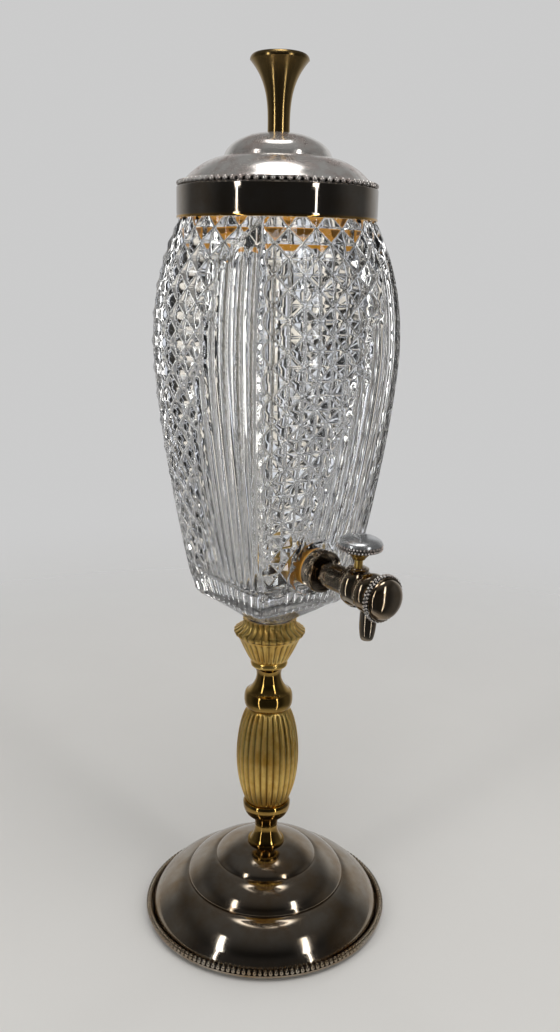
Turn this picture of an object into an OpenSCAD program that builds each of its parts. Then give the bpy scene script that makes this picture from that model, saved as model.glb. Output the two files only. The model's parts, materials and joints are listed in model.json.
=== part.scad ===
// Absinthe fountain: a pressed glass vessel on a turned brass stem and a
// stepped round base, with a lift-off lid and a push tap in one side.
// Millimetres. +Z is up, Z = 0 is the table under the felt, the stem stands
// on the Z axis and the tap points along -Y.

/* [Base] */
// Radius of the base over its beaded rim
base_r = 58.8; // [52:0.1:70]
// Thickness of the beaded wire round the base
base_bead_d = 3.2; // [2:0.1:4.5]
// Thickness of the felt under the base
felt_t = 1.5; // [0.8:0.1:3]
// Thickness of the plate that closes the base
plate_t = 1; // [0.6:0.1:2]
// Thickness of the spun sheet of the base and the lid
sheet_t = 0.9; // [0.6:0.05:1.4]
// Radius of the dome's lower crease
low_crease_r = 39; // [34:0.1:47]
// Radius of the dome's upper crease
high_crease_r = 25.2; // [20:0.1:32]
// Rise of the dome's lowest tier
low_tier_h = 17; // [8:0.1:20]
// Rise of the dome's middle tier
mid_tier_h = 9.5; // [6:0.1:20]
// Rise of the dome's top tier
top_tier_h = 7; // [4:0.1:10]
// Room between the cast weight and the dome over it
weight_gap = 2; // [0.5:0.1:5]

/* [Stem] */
// Diameter of the tie rod through the stem
rod_d = 6; // [4:0.1:7]
// Height of the stem's foot
foot_h = 14; // [9:0.1:20]
// Radius of the stem's foot where it stands on the dome
foot_r = 8.6; // [7:0.1:12]
// Radius of the foot's narrow neck
foot_neck_r = 5.4; // [4.8:0.1:6.4]
// Radius of the foot's top
foot_top_r = 6.6; // [6:0.1:9]
// Height of the knop under the baluster
low_knop_h = 8.6; // [6:0.1:12]
// Radius of the knop under the baluster
low_knop_r = 11.4; // [9.5:0.1:15]
// Height of the fluted baluster
baluster_h = 48.3; // [35:0.1:65]
// Greatest radius of the baluster
baluster_r = 14.9; // [12:0.1:19]
// Radius of the baluster's ends
baluster_end_r = 9.6; // [8:0.1:11]
// Number of reeds round the baluster
reeds = 28; // [20:1:36]
// Depth of the valleys between the reeds
reed_depth = 1.2; // [0.5:0.1:1.6]
// Height of the ring on the baluster
high_knop_h = 8.3; // [5:0.1:12]
// Radius of the ring on the baluster
high_knop_r = 11.5; // [10:0.1:15]
// Height of the neck above that ring
high_neck_h = 12.8; // [8:0.1:18]
// Radius of that neck at its narrowest
high_neck_r = 5.8; // [4.8:0.1:7]
// Height of the collar disc under the cup
collar_disc_h = 3; // [2:0.1:5]
// Radius of the collar disc under the cup
collar_disc_r = 8.7; // [7.8:0.1:11]
// Height of the cup's bowl
bowl_h = 12; // [8:0.1:18]
// Radius of the cup's bowl at its top
bowl_r = 14.8; // [13.5:0.1:16]
// Height of the cup's flared crown
crown_h = 8.6; // [7:0.1:12]
// Greatest radius of the crown
crown_r = 16.6; // [16:0.1:21]
// Radius of the crown's lip
crown_lip_r = 12.6; // [12:0.1:14.5]

/* [Glass] */
// Radius of the stub that stands in the cup
stub_r = 10.2; // [8:0.1:10.6]
// Rise of the sloping underside of the glass
sole_h = 9.1; // [5:0.1:15]
// Height from the lower edge of the glass to its belly
body_h = 114; // [95:0.5:140]
// Height from the belly to the shoulder under the collar
shoulder_h = 53; // [45:0.5:70]
// Radius of the belly over its rounded corners
belly_r = 53.9; // [50:0.1:60]
// Distance from the axis to the belly's flat side
belly_flat = 47.3; // [44:0.1:49]
// Radius of the lower edge over its corners, before it is rounded
sole_r = 35.2; // [33:0.1:40]
// Distance from the axis to the flat side at the lower edge
sole_flat = 24.8; // [23:0.1:27]
// Radius of the shoulder under the collar
shoulder_r = 41.7; // [41:0.1:44]
// Rounding of the lower edge
sole_round = 4.5; // [3:0.1:6]
// Thickness of the glass wall
glass_wall = 5; // [4:0.1:6]
// Thickness of the glass floor above the lower edge
glass_floor = 11; // [8:0.1:13]
// Outer radius of the glass neck
neck_r = 40.2; // [39.4:0.1:40.6]
// Thickness of the glass neck
neck_wall = 3; // [2:0.1:4]

/* [Glass pattern] */
// Flutes across one face of the glass, each half as wide as a diamond
flutes = 12; // [8:2:16]
// Depth of a flute as a share of its width
flute_hollow = 0.17; // [0.08:0.01:0.25]
// Height of one diamond
diamond_h = 11.7; // [9:0.1:16]
// Depth of the grooves between the diamonds
diamond_depth = 1.5; // [0.6:0.1:1.8]
// Share of a face that diamonds take at its lower edge
diamonds_low_share = 0.23; // [0.1:0.01:0.5]
// Share of a face that diamonds take at the shoulder
diamonds_high_share = 0.85; // [0.5:0.01:1]
// Distance from the shoulder down to the top of the tallest flutes
flute_top_drop = 11; // [6:0.5:25]

/* [Collar and lid] */
// Radius of the collar band round the neck
collar_r = 42.3; // [42:0.1:43.5]
// Height of the collar band
collar_h = 12.9; // [9:0.1:18]
// Thickness of the collar band
collar_t = 1.2; // [0.8:0.1:1.4]
// Thickness of the beaded wire round the lid
lid_bead_d = 2.7; // [2:0.1:3.5]
// Rise of the lid's lower tier
lid_low_h = 11.8; // [9:0.1:18]
// Rise of the lid's upper tier
lid_high_h = 9.8; // [5:0.1:12]
// Radius of the crease between the lid's tiers
lid_crease_r = 23.4; // [17:0.1:26]
// Depth of the liner tube that enters the neck
liner_h = 8; // [5:0.1:11]
// Height of the trumpet finial
finial_h = 30.4; // [24:0.1:40]
// Radius of the finial's foot
finial_foot_r = 4.6; // [3.8:0.1:5.4]
// Radius of the finial's lip
finial_lip_r = 12.2; // [10:0.1:15]
// Rounding of the finial's lip
finial_lip_round = 2.4; // [1.5:0.1:3]
// Diameter of the stud that holds the finial
finial_stud_d = 4; // [3:0.1:4.5]

/* [Tap] */
// Height of the tap's axis where it meets the vessel's axis
tap_z = 184.8; // [184:0.1:190]
// Nose-down slant of the tap, in degrees
tap_droop = 3; // [0:0.5:4]
// Distance from the vessel's axis to the flat seat moulded for the tap
tap_seat = 31.4; // [30.8:0.1:33]
// Radius of that moulded seat
tap_seat_r = 13; // [10.5:0.1:13.4]
// Glass thickness between the tap's two seats
tap_glass_t = 6.8; // [5.5:0.1:8]
// Thickness of the tap's gaskets
gasket_t = 1; // [0.6:0.1:1.6]
// Radius of the tap's dished flange
flange_r = 9.3; // [8.6:0.1:10.4]
// Depth of the dished flange
flange_h = 5.6; // [4:0.1:8]
// Diameter of the threaded shank through the glass
shank_d = 10; // [9:0.1:11]
// Radius of the plain shank in front of the flange
shank_collar_r = 5.8; // [5.6:0.1:6.6]
// Distance from the flange's floor to the push valve
valve_reach = 24.3; // [20:0.1:32]
// Distance from the push valve to the spout
spout_reach = 8.2; // [7.8:0.1:10]
// Radius of the two rings of the tap's body
ring_r = 8.4; // [8:0.1:9.2]
// Radius of the front cap over its beads
cap_r = 10.3; // [9.6:0.1:12]
// Thickness of the beaded band round the front cap
cap_bead_t = 0.9; // [0.6:0.1:1.4]
// Length of the beaded band round the front cap
cap_bead_h = 2.8; // [2.4:0.1:5]
// Height of the front cap's dome
cap_dome_h = 4.9; // [3:0.1:7]
// Outer radius of the spout at the body
spout_r = 3.6; // [3.4:0.1:4.4]
// Outer radius of the spout's mouth
spout_mouth_r = 2.2; // [2.1:0.1:3]
// Distance from the tap's axis down to the spout's mouth
spout_drop = 20.4; // [15:0.1:26]
// Diameter of the water way in the spout
spout_bore_d = 3.4; // [3:0.1:3.8]

/* [Push valve] */
// Diameter of the button's stem
stem_d = 3.5; // [2.8:0.1:3.8]
// Travel of the button
button_travel = 3; // [2:0.1:3.4]
// Radius of the button
button_r = 9.7; // [8:0.1:12]
// Height of the button's domed top
button_dome_h = 3; // [2:0.1:6]
// Height of the beaded band round the button
button_bead_h = 2.7; // [2:0.1:4]
// Thickness of the beaded band round the button
button_bead_t = 0.9; // [0.6:0.1:1.3]
// Height of the button's conical underside
button_cone_h = 4.3; // [1.5:0.1:6]
// Diameter of the spring's wire
wire_d = 0.56; // [0.4:0.02:0.6]
// Number of coils in the spring
coils = 4; // [3:1:5]

/* [Hidden] */

$fn = 96;

// Colours as the photograph shows them
silver = "#b9b4ae";
nickel = "#a39c92";
gold = "#c39a4a";
bronze = "#8f7440";
steel = "#8b8d90";
glass = "#cfd8d6";
amber = "#8a5a1e";
seal_black = "#2b2a28";

// Clearances and small shared sizes
fit_gap = 0.05;
thread_gap = 0.1;
rod_gap = 0.2;
lid_gap = 0.1;
lid_clear = 0.4;
bed_t = 0.6;
bead_flat = 0.3;
bead_land = 0.6;
tier_bulge = 1.3;
lid_bulge = 1.4;
lid_cap_bulge = 1.1;
cut = 1;

// Where the swellings and necks lie, as shares of their piece's height
foot_neck_at = 0.62;
low_knop_at = 0.8;
baluster_at = 0.51;
high_knop_at = 0.55;
high_neck_at = 0.65;
disc_at = 0.55;
crown_at = 0.33;

// Shape of the stem's curves: how far edges step in, and how full the curves are
low_knop_edge = 1;
high_knop_edge = 1.1;
high_neck_flare = 1.6;
disc_edge = 0.7;
crown_throat_h = 1.4;
crown_throat_in = 0.3;
baluster_fullness = 0.75;
bowl_fullness = 0.85;
baluster_steps = 12;

// Heights of the base and stem, stacked from the table up
plate_z = felt_t;
dome_z = plate_z + plate_t;
low_crease_z = dome_z + low_tier_h;
high_crease_z = low_crease_z + mid_tier_h;
dome_top = high_crease_z + top_tier_h;
low_knop_z = dome_top + foot_h;
baluster_z = low_knop_z + low_knop_h;
high_knop_z = baluster_z + baluster_h;
high_neck_z = high_knop_z + high_knop_h;
collar_disc_z = high_neck_z + high_neck_h;
bowl_z = collar_disc_z + collar_disc_h;
crown_z = bowl_z + bowl_h;
crown_top = crown_z + crown_h;

// Base sizes that follow from the beaded rim
bead_ring_r = base_r - base_bead_d / 2;
dome_r = base_r - base_bead_d - fit_gap;
dome_flange_r = bead_ring_r + bead_land;
dome_seat_margin = 1;
dome_seat_r = foot_r + dome_seat_margin;
plate_inset = 1;
felt_inset = 3;
rod_hole_r = rod_d / 2 + rod_gap;
washer_t = 1.2;
washer_r = rod_d / 2 + 4.5;
nut_t = 5;
nut_r = rod_d / 2 + 2.8;
pocket_r = washer_r + 1.5;
pocket_h = washer_t + nut_t + 2;

// Cup and glass stub, bedded in cement
crown_floor = 2.5;
crown_bore_r = stub_r + bed_t;
stub_bed = 1;
under_gap = 0.3;
stub_fillet = 0.4;
stub_z = crown_z + crown_floor + stub_bed;
under_z = crown_top + under_gap;
sole_z = under_z + sole_h;
belly_z = sole_z + body_h;
shoulder_z = belly_z + shoulder_h;
floor_z = sole_z + glass_floor;
sole_top = sole_z + sole_round;
round_margin = 0.3;
most_square_ratio = 1.36;
corner_wall_extra = 1.5;
corner_wall = glass_wall + corner_wall_extra;
shoulder_curve = 2.3;
body_curve = 1.45;
flat_curve = 1.35;
body_steps = 14;
shoulder_steps = 9;

// Rows of points on the glass: two to a diamond, counted up and down from a row a little over the belly
row_h = diamond_h / 2;
row_margin_share = 0.2;
row_zero_share = 0.4;
row_zero_z = belly_z + row_h * row_zero_share;
first_row = ceil((sole_top - row_zero_z) / row_h + row_margin_share);
last_row = floor((shoulder_z - row_zero_z) / row_h - row_margin_share);
flute_top_z = shoulder_z - flute_top_drop;
face_points = 2 * flutes;
glass_points = 4 * face_points;

// Collar and lid
mouth_r = neck_r - neck_wall;
lip_overhang = 0.5;
collar_bore_r = collar_r - collar_t;
collar_mouth_r = mouth_r - lip_overhang;
collar_top = shoulder_z + collar_h;
collar_lip_t = 1;
neck_top = collar_top - collar_lip_t - bed_t;
lid_z = collar_top + lid_gap;
lid_r = collar_r - lid_bead_d - fit_gap;
lid_crease_z = lid_z + lid_low_h;
lid_top = lid_crease_z + lid_high_h;
liner_r = collar_mouth_r - lid_clear;
liner_t = 0.9;
liner_rim_gap = 0.8;
finial_seat_r = finial_foot_r + 0.8;
finial_curve = 3.3;
finial_washer_t = 0.8;
finial_nut_t = 3.2;
finial_hold = 10;

// Stations along the tap's axis, measured from the vessel's axis
inner_seat = tap_seat - tap_glass_t;
flange_floor_t = 1.2;
flange_wall = 0.9;
flange_back = tap_seat + gasket_t;
shoulder_s = flange_back + flange_floor_t;
inner_washer_t = 1;
lock_nut_t = 4;
inner_washer_s = inner_seat - gasket_t;
lock_nut_s = inner_washer_s - inner_washer_t;
shank_end = lock_nut_s - lock_nut_t - 2;
valve_s = shoulder_s + valve_reach;
spout_s = valve_s + spout_reach;
ring_half = spout_reach / 2;
ring_foot_r = ring_r - 2;
cap_back = spout_s + ring_half + 0.2;
spigot_r = ring_foot_r - 0.4;
spigot_h = 4;
cap_body_r = cap_r - cap_bead_t - fit_gap;
cap_bead_s = cap_back + 1.6;
cap_front = cap_bead_s + cap_bead_h;
glass_hole_r = shank_d / 2 + 0.5;
inner_part_r = glass_hole_r + 3;
inlet_r = 2.2;

// Heights in the push valve, measured from the tap's axis
stem_r = stem_d / 2;
chamber_r = 3.5;
valve_seat_z = 1.8;
seat_bore_r = stem_r + 0.95;
outlet_r = 1.5;
outlet_z = valve_seat_z + outlet_r + 0.1;
gland_z = outlet_z + outlet_r + 0.1;
gland_seal_t = 1.2;
gland_seat_z = ring_r - 0.8;
gland_head_r = 4.7;
gland_head_h = 1.3;
gland_top = gland_seat_z + gland_head_h;
seal_t = 0.8;
poppet_top = valve_seat_z - fit_gap - seal_t;
poppet_t = 1.4;
poppet_r = chamber_r - 0.3;
plug_top = -6.5;
plug_bottom = 0.5 - ring_r;
button_z = gland_top + button_travel + 0.3;
button_band_z = button_z + button_cone_h;
button_core_r = button_r - button_bead_t - fit_gap;
tenon_z = -5.2;

// Points of a convex tier of sheet, from its outer lower edge to its inner upper edge
function tier(r_out, z_low, r_in, z_high, power, steps = 9) = [
  for (i = [0 : steps])
    let (a = 90 * i / steps)
    [r_in + (r_out - r_in) * pow(cos(a), power), z_low + (z_high - z_low) * pow(sin(a), power)]
];

// Points of a hollow waist between two ends, narrowest at the height z_mid
function waist(z_low, r_low, z_mid, r_mid, z_high, r_high, steps = 10) = [
  for (i = [0 : steps])
    let (z = z_low + (z_high - z_low) * i / steps)
    z < z_mid
      ? [r_mid + (r_low - r_mid) * pow((z_mid - z) / (z_mid - z_low), 2), z]
      : [r_mid + (r_high - r_mid) * pow((z - z_mid) / (z_high - z_mid), 2), z]
];

// Height of a round over its base line, 1 in the middle and 0 at u = 1
function round_part(u, power) = pow(max(0, 1 - u * u), power);

// Points of a swelling between two ends, widest at the height z_mid
function swell(z_low, r_low, z_mid, r_mid, z_high, r_high, power = 0.5, steps = 12) = [
  for (i = [0 : steps])
    let (z = z_low + (z_high - z_low) * (1 - cos(180 * i / steps)) / 2)
    z < z_mid
      ? [r_low + (r_mid - r_low) * round_part((z_mid - z) / (z_mid - z_low), power), z]
      : [r_high + (r_mid - r_high) * round_part((z - z_mid) / (z_high - z_mid), power), z]
];

// The same outline moved inwards and downwards
function moved(points, by) = [for (p = points) p - [by, by]];

function reversed(points) = [for (i = [len(points) - 1 : -1 : 0]) points[i]];

// An outline that goes on from the last point of another one
function joined(first, second) = concat(first, [for (i = [1 : len(second) - 1]) second[i]]);

// The two ends of a solid that is drawn in rings of points, as faces
function end_faces(rings, sides) = [
  [for (k = [0 : sides - 1]) k],
  [for (k = [sides - 1 : -1 : 0]) (rings - 1) * sides + k]
];

// The sides of such a solid, between neighbouring rings
function side_faces(rings, sides) = [
  for (i = [0 : rings - 2])
    for (k = [0 : sides - 1])
      let (p = i * sides + k, q = i * sides + (k + 1) % sides)
      each [[p, p + sides, q], [q, p + sides, q + sides]]
];

// A turned piece: its outline from bottom to top, round a bore
module turned(outline, bore) {
  rotate_extrude()
    polygon(concat(outline, [[bore, outline[len(outline) - 1][1]], [bore, outline[0][1]]]));
}

module ring(r_out, r_in, z, h) {
  translate([0, 0, z])
    difference() {
      cylinder(r = r_out, h = h);
      translate([0, 0, -cut]) cylinder(r = r_in, h = h + 2 * cut);
    }
}

// A wire bent to a ring, with a flat under it where it is soldered on
module bead_wire(r, d, z) {
  rotate_extrude()
    intersection() {
      translate([r, z + d / 2 - bead_flat]) circle(d = d, $fn = 32);
      translate([r - d, z]) square([2 * d, d]);
    }
}

module hex_nut(r, bore, z, h) {
  translate([0, 0, z])
    difference() {
      cylinder(r = r, h = h, $fn = 6);
      translate([0, 0, -cut]) cylinder(r = bore, h = h + 2 * cut);
    }
}

// Base

dome_outline = concat(
  tier(dome_r, dome_z + sheet_t, low_crease_r, low_crease_z, tier_bulge),
  tier(low_crease_r - sheet_t, low_crease_z, high_crease_r, high_crease_z, tier_bulge),
  tier(high_crease_r - sheet_t, high_crease_z, dome_seat_r, dome_top, tier_bulge)
);

module felt_pad() {
  color("#3a3d38") cylinder(r = dome_r - felt_inset, h = felt_t);
}

module base_plate() {
  color(steel) translate([0, 0, plate_z]) cylinder(r = dome_r - plate_inset, h = plate_t);
}

module base_weight() {
  inside = moved(dome_outline, sheet_t + weight_gap);
  body = [for (p = inside) if (p[1] > dome_z) p];
  boss_r = dome_seat_r - sheet_t - weight_gap;
  color("#55524e")
    difference() {
      union() {
        rotate_extrude()
          polygon(concat([[0, dome_z], [body[0][0], dome_z]], body, [[0, body[len(body) - 1][1]]]));
        translate([0, 0, dome_z]) cylinder(r = boss_r, h = dome_top - sheet_t - dome_z);
      }
      translate([0, 0, dome_z]) cylinder(r = rod_hole_r, h = dome_top);
      translate([0, 0, dome_z - cut]) cylinder(r = pocket_r, h = pocket_h + cut);
    }
}

module base_dome() {
  inner = moved(dome_outline, sheet_t);
  color(nickel)
    rotate_extrude()
      polygon(concat(
        [[dome_flange_r, dome_z], [dome_flange_r, dome_z + sheet_t]],
        dome_outline,
        [[rod_hole_r, dome_top], [rod_hole_r, dome_top - sheet_t]],
        reversed(inner)
      ));
}

module base_bead_ring() {
  color(silver) bead_wire(bead_ring_r, base_bead_d, dome_z + sheet_t);
}

rod_washer_z = dome_z + pocket_h - washer_t;

module rod_washer() {
  color(steel) ring(washer_r, rod_hole_r, rod_washer_z, washer_t);
}

module rod_nut() {
  color(steel) hex_nut(nut_r, rod_d / 2 + thread_gap, rod_washer_z - nut_t, nut_t);
}

// Stem

module tie_rod() {
  z_low = rod_washer_z - nut_t - 1;
  color(steel) translate([0, 0, z_low]) cylinder(d = rod_d, h = crown_z + crown_floor - z_low);
}

module stem_foot() {
  neck_z = dome_top + foot_h * foot_neck_at;
  color(bronze)
    turned(waist(dome_top, foot_r, neck_z, foot_neck_r, low_knop_z, foot_top_r), rod_hole_r);
}

module lower_knop() {
  widest_z = low_knop_z + low_knop_h * low_knop_at;
  color(bronze)
    turned(
      swell(low_knop_z, foot_top_r, widest_z, low_knop_r, baluster_z, low_knop_r - low_knop_edge),
      rod_hole_r
    );
}

// Each ring of the baluster has three points to a reed: the valley and the reed's two shoulders
module baluster() {
  widest_z = baluster_z + baluster_h * baluster_at;
  outline = swell(baluster_z, baluster_end_r, widest_z, baluster_r, high_knop_z, baluster_end_r,
    power = baluster_fullness, steps = baluster_steps);
  sides = 3 * reeds;
  points = [
    for (i = [0 : baluster_steps])
      for (k = [0 : sides - 1])
        let (
          in_valley = k % 3 == 0 && i > 0 && i < baluster_steps,
          r = outline[i][0] - (in_valley ? reed_depth : 0),
          a = 360 * k / sides
        )
        [r * cos(a), r * sin(a), outline[i][1]]
  ];
  rings = baluster_steps + 1;
  color(gold)
    difference() {
      polyhedron(points = points, faces = concat(side_faces(rings, sides), end_faces(rings, sides)));
      translate([0, 0, baluster_z - cut]) cylinder(r = rod_hole_r, h = baluster_h + 2 * cut);
    }
}

module upper_knop() {
  ring_top_r = high_knop_r - high_knop_edge;
  ring_z = high_knop_z + high_knop_h * high_knop_at;
  neck_z = high_neck_z + high_neck_h * high_neck_at;
  color(bronze)
    turned(
      joined(
        swell(high_knop_z, baluster_end_r, ring_z, high_knop_r, high_neck_z, ring_top_r),
        waist(high_neck_z, ring_top_r, neck_z, high_neck_r, collar_disc_z, high_neck_r + high_neck_flare)
      ),
      rod_hole_r
    );
}

module stem_collar() {
  edge_r = collar_disc_r - disc_edge;
  widest_z = collar_disc_z + collar_disc_h * disc_at;
  color(gold)
    turned(swell(collar_disc_z, edge_r, widest_z, collar_disc_r, bowl_z, edge_r), rod_hole_r);
}

module cup_bowl() {
  steps = 8;
  curve = [
    for (i = [0 : steps])
      [collar_disc_r + (bowl_r - collar_disc_r) * pow(i / steps, bowl_fullness), bowl_z + bowl_h * i / steps]
  ];
  color(gold) turned(curve, rod_hole_r);
}

module cup_crown() {
  widest_z = crown_z + crown_h * crown_at;
  throat_z = crown_top - crown_throat_h;
  outline = concat(
    [[bowl_r, crown_z]],
    waist(widest_z, crown_r, throat_z, crown_lip_r - crown_throat_in, crown_top, crown_lip_r)
  );
  color(gold)
    difference() {
      turned(outline, 0);
      translate([0, 0, crown_z - cut]) cylinder(d = rod_d + 2 * thread_gap, h = crown_h);
      translate([0, 0, crown_z + crown_floor]) cylinder(r = crown_bore_r, h = crown_h);
    }
}

module vessel_cement() {
  low = crown_z + crown_floor;
  color(amber)
    difference() {
      translate([0, 0, low]) cylinder(r = crown_bore_r - fit_gap, h = crown_top - low);
      translate([0, 0, stub_z]) cylinder(r = stub_r + fit_gap, h = crown_h);
    }
}

// Glass vessel: square with rounded corners below, round at the neck

// Radius over the corners at a height
function corner_r(z) = z > belly_z
  ? belly_r - (belly_r - shoulder_r) * pow((z - belly_z) / shoulder_h, shoulder_curve)
  : belly_r - (belly_r - sole_r) * pow((belly_z - z) / body_h, body_curve);

// Distance to the flat sides at a height
function flat_r(z) = z > belly_z
  ? belly_flat - (belly_flat - shoulder_r - round_margin) * pow((z - belly_z) / shoulder_h, shoulder_curve)
  : belly_flat - (belly_flat - sole_flat) * pow((belly_z - z) / body_h, flat_curve);

// Heights at which the wall is drawn, from z_low up to the shoulder
function wall_heights(z_low) = concat(
  [for (i = [0 : body_steps - 1]) z_low + (belly_z - z_low) * i / body_steps],
  [for (i = [0 : shoulder_steps]) belly_z + shoulder_h * i / shoulder_steps]
);

// Angle of a point from the middle of its face, by its share of the face's width
function face_angle(share) = let (t = 2 * share - 1) (45 * t + atan(t)) / 2;

// Radius of the rounded square section at an angle from the middle of a face
function section_r(flat, corner, angle) =
  let (n = 1 / (0.5 - ln(min(corner / flat, most_square_ratio)) / ln(2)))
  flat / pow(pow(cos(angle), n) + pow(abs(sin(angle)), n), 1 / n);

// Share of a face, from its left edge, that diamonds take at a height
function diamonds_at(z) =
  diamonds_low_share + (diamonds_high_share - diamonds_low_share) * (z - sole_z) / (shoulder_z - sole_z);

// Whether a column of a face is a flute at a height
function is_flute(column, z) = z < flute_top_z && (column + 0.5) / flutes > diamonds_at(z);

function flute_depth(corner) = flute_hollow * corner * sqrt(2) / flutes;

// Depth at the edge between two columns: grooves cross there on every other row, and between them
// lie the points of the diamonds
function edge_depth(u, v, z) =
  u > 0 && u < flutes && (u + v) % 2 == 0 && !is_flute(u - 1, z) && !is_flute(u, z) ? diamond_depth : 0;

// Depth of the pattern at a point of a row: even points lie on a column's edge, odd ones in its middle
function pattern_depth(k, v, z) = let (u = floor(k / 2))
  k % 2 == 0 ? edge_depth(u, v, z)
    : is_flute(u, z) ? flute_depth(corner_r(z))
    : (edge_depth(u, v, z) + edge_depth(u + 1, v, z)) / 2;

// A row of plain points round the glass, with flutes of a depth
function plain_row(z, flat, corner, depth = 0) = [
  for (face = [0 : 3])
    for (k = [0 : face_points - 1])
      let (
        a = face_angle(k / face_points),
        r = section_r(flat, corner, a) - (k % 2 == 1 ? depth : 0),
        turn = a + 90 * face - 90
      )
      [r * cos(turn), r * sin(turn), z]
];

// A row of points round the glass with its part of the pattern
function pattern_row(v) = let (z = row_zero_z + v * row_h) [
  for (face = [0 : 3])
    for (k = [0 : face_points - 1])
      let (
        a = face_angle(k / face_points),
        r = section_r(flat_r(z), corner_r(z), a) - pattern_depth(k, v, z),
        turn = a + 90 * face - 90
      )
      [r * cos(turn), r * sin(turn), z]
];

// Faces of one column between two rows, with a crease along a groove or the bottom of a flute
function column_faces(v, u, face) =
  let (
    z = row_zero_z + v * row_h,
    low = (v - first_row + rows_below) * glass_points,
    k = face * face_points + 2 * u,
    a = low + k,
    m = a + 1,
    b = low + (k + 2) % glass_points,
    d = a + glass_points,
    n = m + glass_points,
    c = b + glass_points,
    plain = v < first_row || v >= last_row || is_flute(u, z) || is_flute(u, z + row_h)
  )
  plain ? [[a, n, m], [a, d, n], [m, c, b], [m, n, c]]
    : (u + v) % 2 == 0 ? [[a, c, m], [m, c, b], [a, n, c], [a, d, n]]
    : [[a, d, m], [m, d, b], [b, n, c], [b, d, n]];

// The bar of glass between two opposite flat sides
module between_flats(outline) {
  points = concat(outline, reversed([for (p = outline) [-p[0], p[1]]]));
  rotate([90, 0, 0])
    linear_extrude(height = 3 * belly_r, center = true)
      polygon(points);
}

module squared(corner_outline, flat_outline) {
  intersection() {
    rotate_extrude() polygon(concat([[0, corner_outline[0][1]]], corner_outline,
      [[0, corner_outline[len(corner_outline) - 1][1]]]));
    between_flats(flat_outline);
    rotate([0, 0, 90]) between_flats(flat_outline);
  }
}

// The rows below the pattern, from the stub over the rounded lower edge
edge_flat = flat_r(sole_top) - sole_round;
edge_corner = corner_r(sole_top) - sole_round;
edge_half = sole_round * (1 - cos(45));
low_rows = [
  plain_row(under_z, stub_r + stub_fillet, stub_r + stub_fillet),
  plain_row(sole_z, edge_flat, edge_corner, flute_depth(edge_corner)),
  plain_row(sole_z + edge_half, flat_r(sole_top) - edge_half, corner_r(sole_top) - edge_half,
    flute_depth(corner_r(sole_top))),
  plain_row(sole_top, flat_r(sole_top), corner_r(sole_top), flute_depth(corner_r(sole_top)))
];
rows_below = len(low_rows);

module glass_skin() {
  rows = concat(
    low_rows,
    [for (v = [first_row : last_row]) pattern_row(v)],
    [plain_row(shoulder_z, flat_r(shoulder_z), corner_r(shoulder_z))]
  );
  sides = [
    for (v = [first_row - rows_below : last_row])
      for (face = [0 : 3])
        for (u = [0 : flutes - 1])
          each column_faces(v, u, face)
  ];
  polyhedron(
    points = [for (row = rows) each row],
    faces = concat(sides, end_faces(len(rows), glass_points))
  );
}

module glass_outside() {
  glass_skin();
  translate([0, 0, stub_z]) cylinder(r = stub_r, h = sole_z - stub_z);
  translate([0, 0, shoulder_z - cut]) cylinder(r = neck_r, h = neck_top - shoulder_z + cut);
}

module glass_inside() {
  corner = [for (z = wall_heights(floor_z)) [corner_r(z) - corner_wall, z]];
  flat = [for (z = wall_heights(floor_z)) [flat_r(z) - glass_wall, z]];
  squared(corner, flat);
  translate([0, 0, shoulder_z - 2 * cut]) cylinder(r = mouth_r, h = collar_h + 2 * cut);
}

// The tap's frame: children are drawn with the tap's axis along -Y
module at_tap() {
  translate([0, 0, tap_z]) rotate([tap_droop, 0, 0]) children();
}

// Children turned about the tap's axis, with Z as the distance from the vessel's axis
module along_tap() {
  at_tap() rotate([90, 0, 0]) children();
}

// Children standing upright in the tap's frame at a station on its axis
module on_tap(s) {
  at_tap() translate([0, -s, 0]) children();
}

module glass_vessel() {
  outer_boss_h = glass_wall * 0.7;
  color(glass, 0.45)
    difference() {
      union() {
        difference() {
          union() {
            glass_outside();
            along_tap() translate([0, 0, tap_seat - outer_boss_h]) cylinder(r = tap_seat_r, h = outer_boss_h);
          }
          glass_inside();
        }
        along_tap() translate([0, 0, inner_seat]) cylinder(r = inner_part_r + 1, h = tap_glass_t);
      }
      along_tap() translate([0, 0, tap_seat]) cylinder(r = tap_seat_r, h = tap_seat);
      along_tap() translate([0, 0, 1]) cylinder(r = inner_part_r + 1, h = inner_seat - 1);
      along_tap() cylinder(r = glass_hole_r, h = 2 * tap_seat);
    }
}

// Collar and lid

module collar_cement() {
  color(amber)
    union() {
      ring(collar_bore_r - fit_gap, neck_r + fit_gap, shoulder_z, neck_top - shoulder_z);
      ring(collar_bore_r - fit_gap, mouth_r, neck_top, bed_t);
    }
}

module neck_collar() {
  color(silver)
    union() {
      ring(collar_r, collar_bore_r, shoulder_z, collar_h);
      ring(collar_bore_r + collar_t / 2, collar_mouth_r, collar_top - collar_lip_t, collar_lip_t);
    }
}

module lid_dome() {
  outline = concat(
    tier(lid_r, lid_z + sheet_t, lid_crease_r, lid_crease_z, lid_bulge),
    tier(lid_crease_r - sheet_t, lid_crease_z, finial_seat_r, lid_top, lid_cap_bulge)
  );
  hole_r = finial_stud_d / 2 + thread_gap;
  color(silver)
    rotate_extrude()
      polygon(concat(
        [[lid_r, lid_z]],
        outline,
        [[hole_r, lid_top], [hole_r, lid_top - sheet_t]],
        reversed(moved(outline, sheet_t))
      ));
}

module lid_bead_ring() {
  color(silver) bead_wire(collar_r - lid_bead_d / 2, lid_bead_d, lid_z);
}

module lid_liner() {
  color(gold)
    union() {
      ring(liner_r, liner_r - liner_t, lid_z - liner_h, liner_h + liner_t);
      ring(lid_r - sheet_t - liner_rim_gap, liner_r - liner_t, lid_z, liner_t);
    }
}

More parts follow.
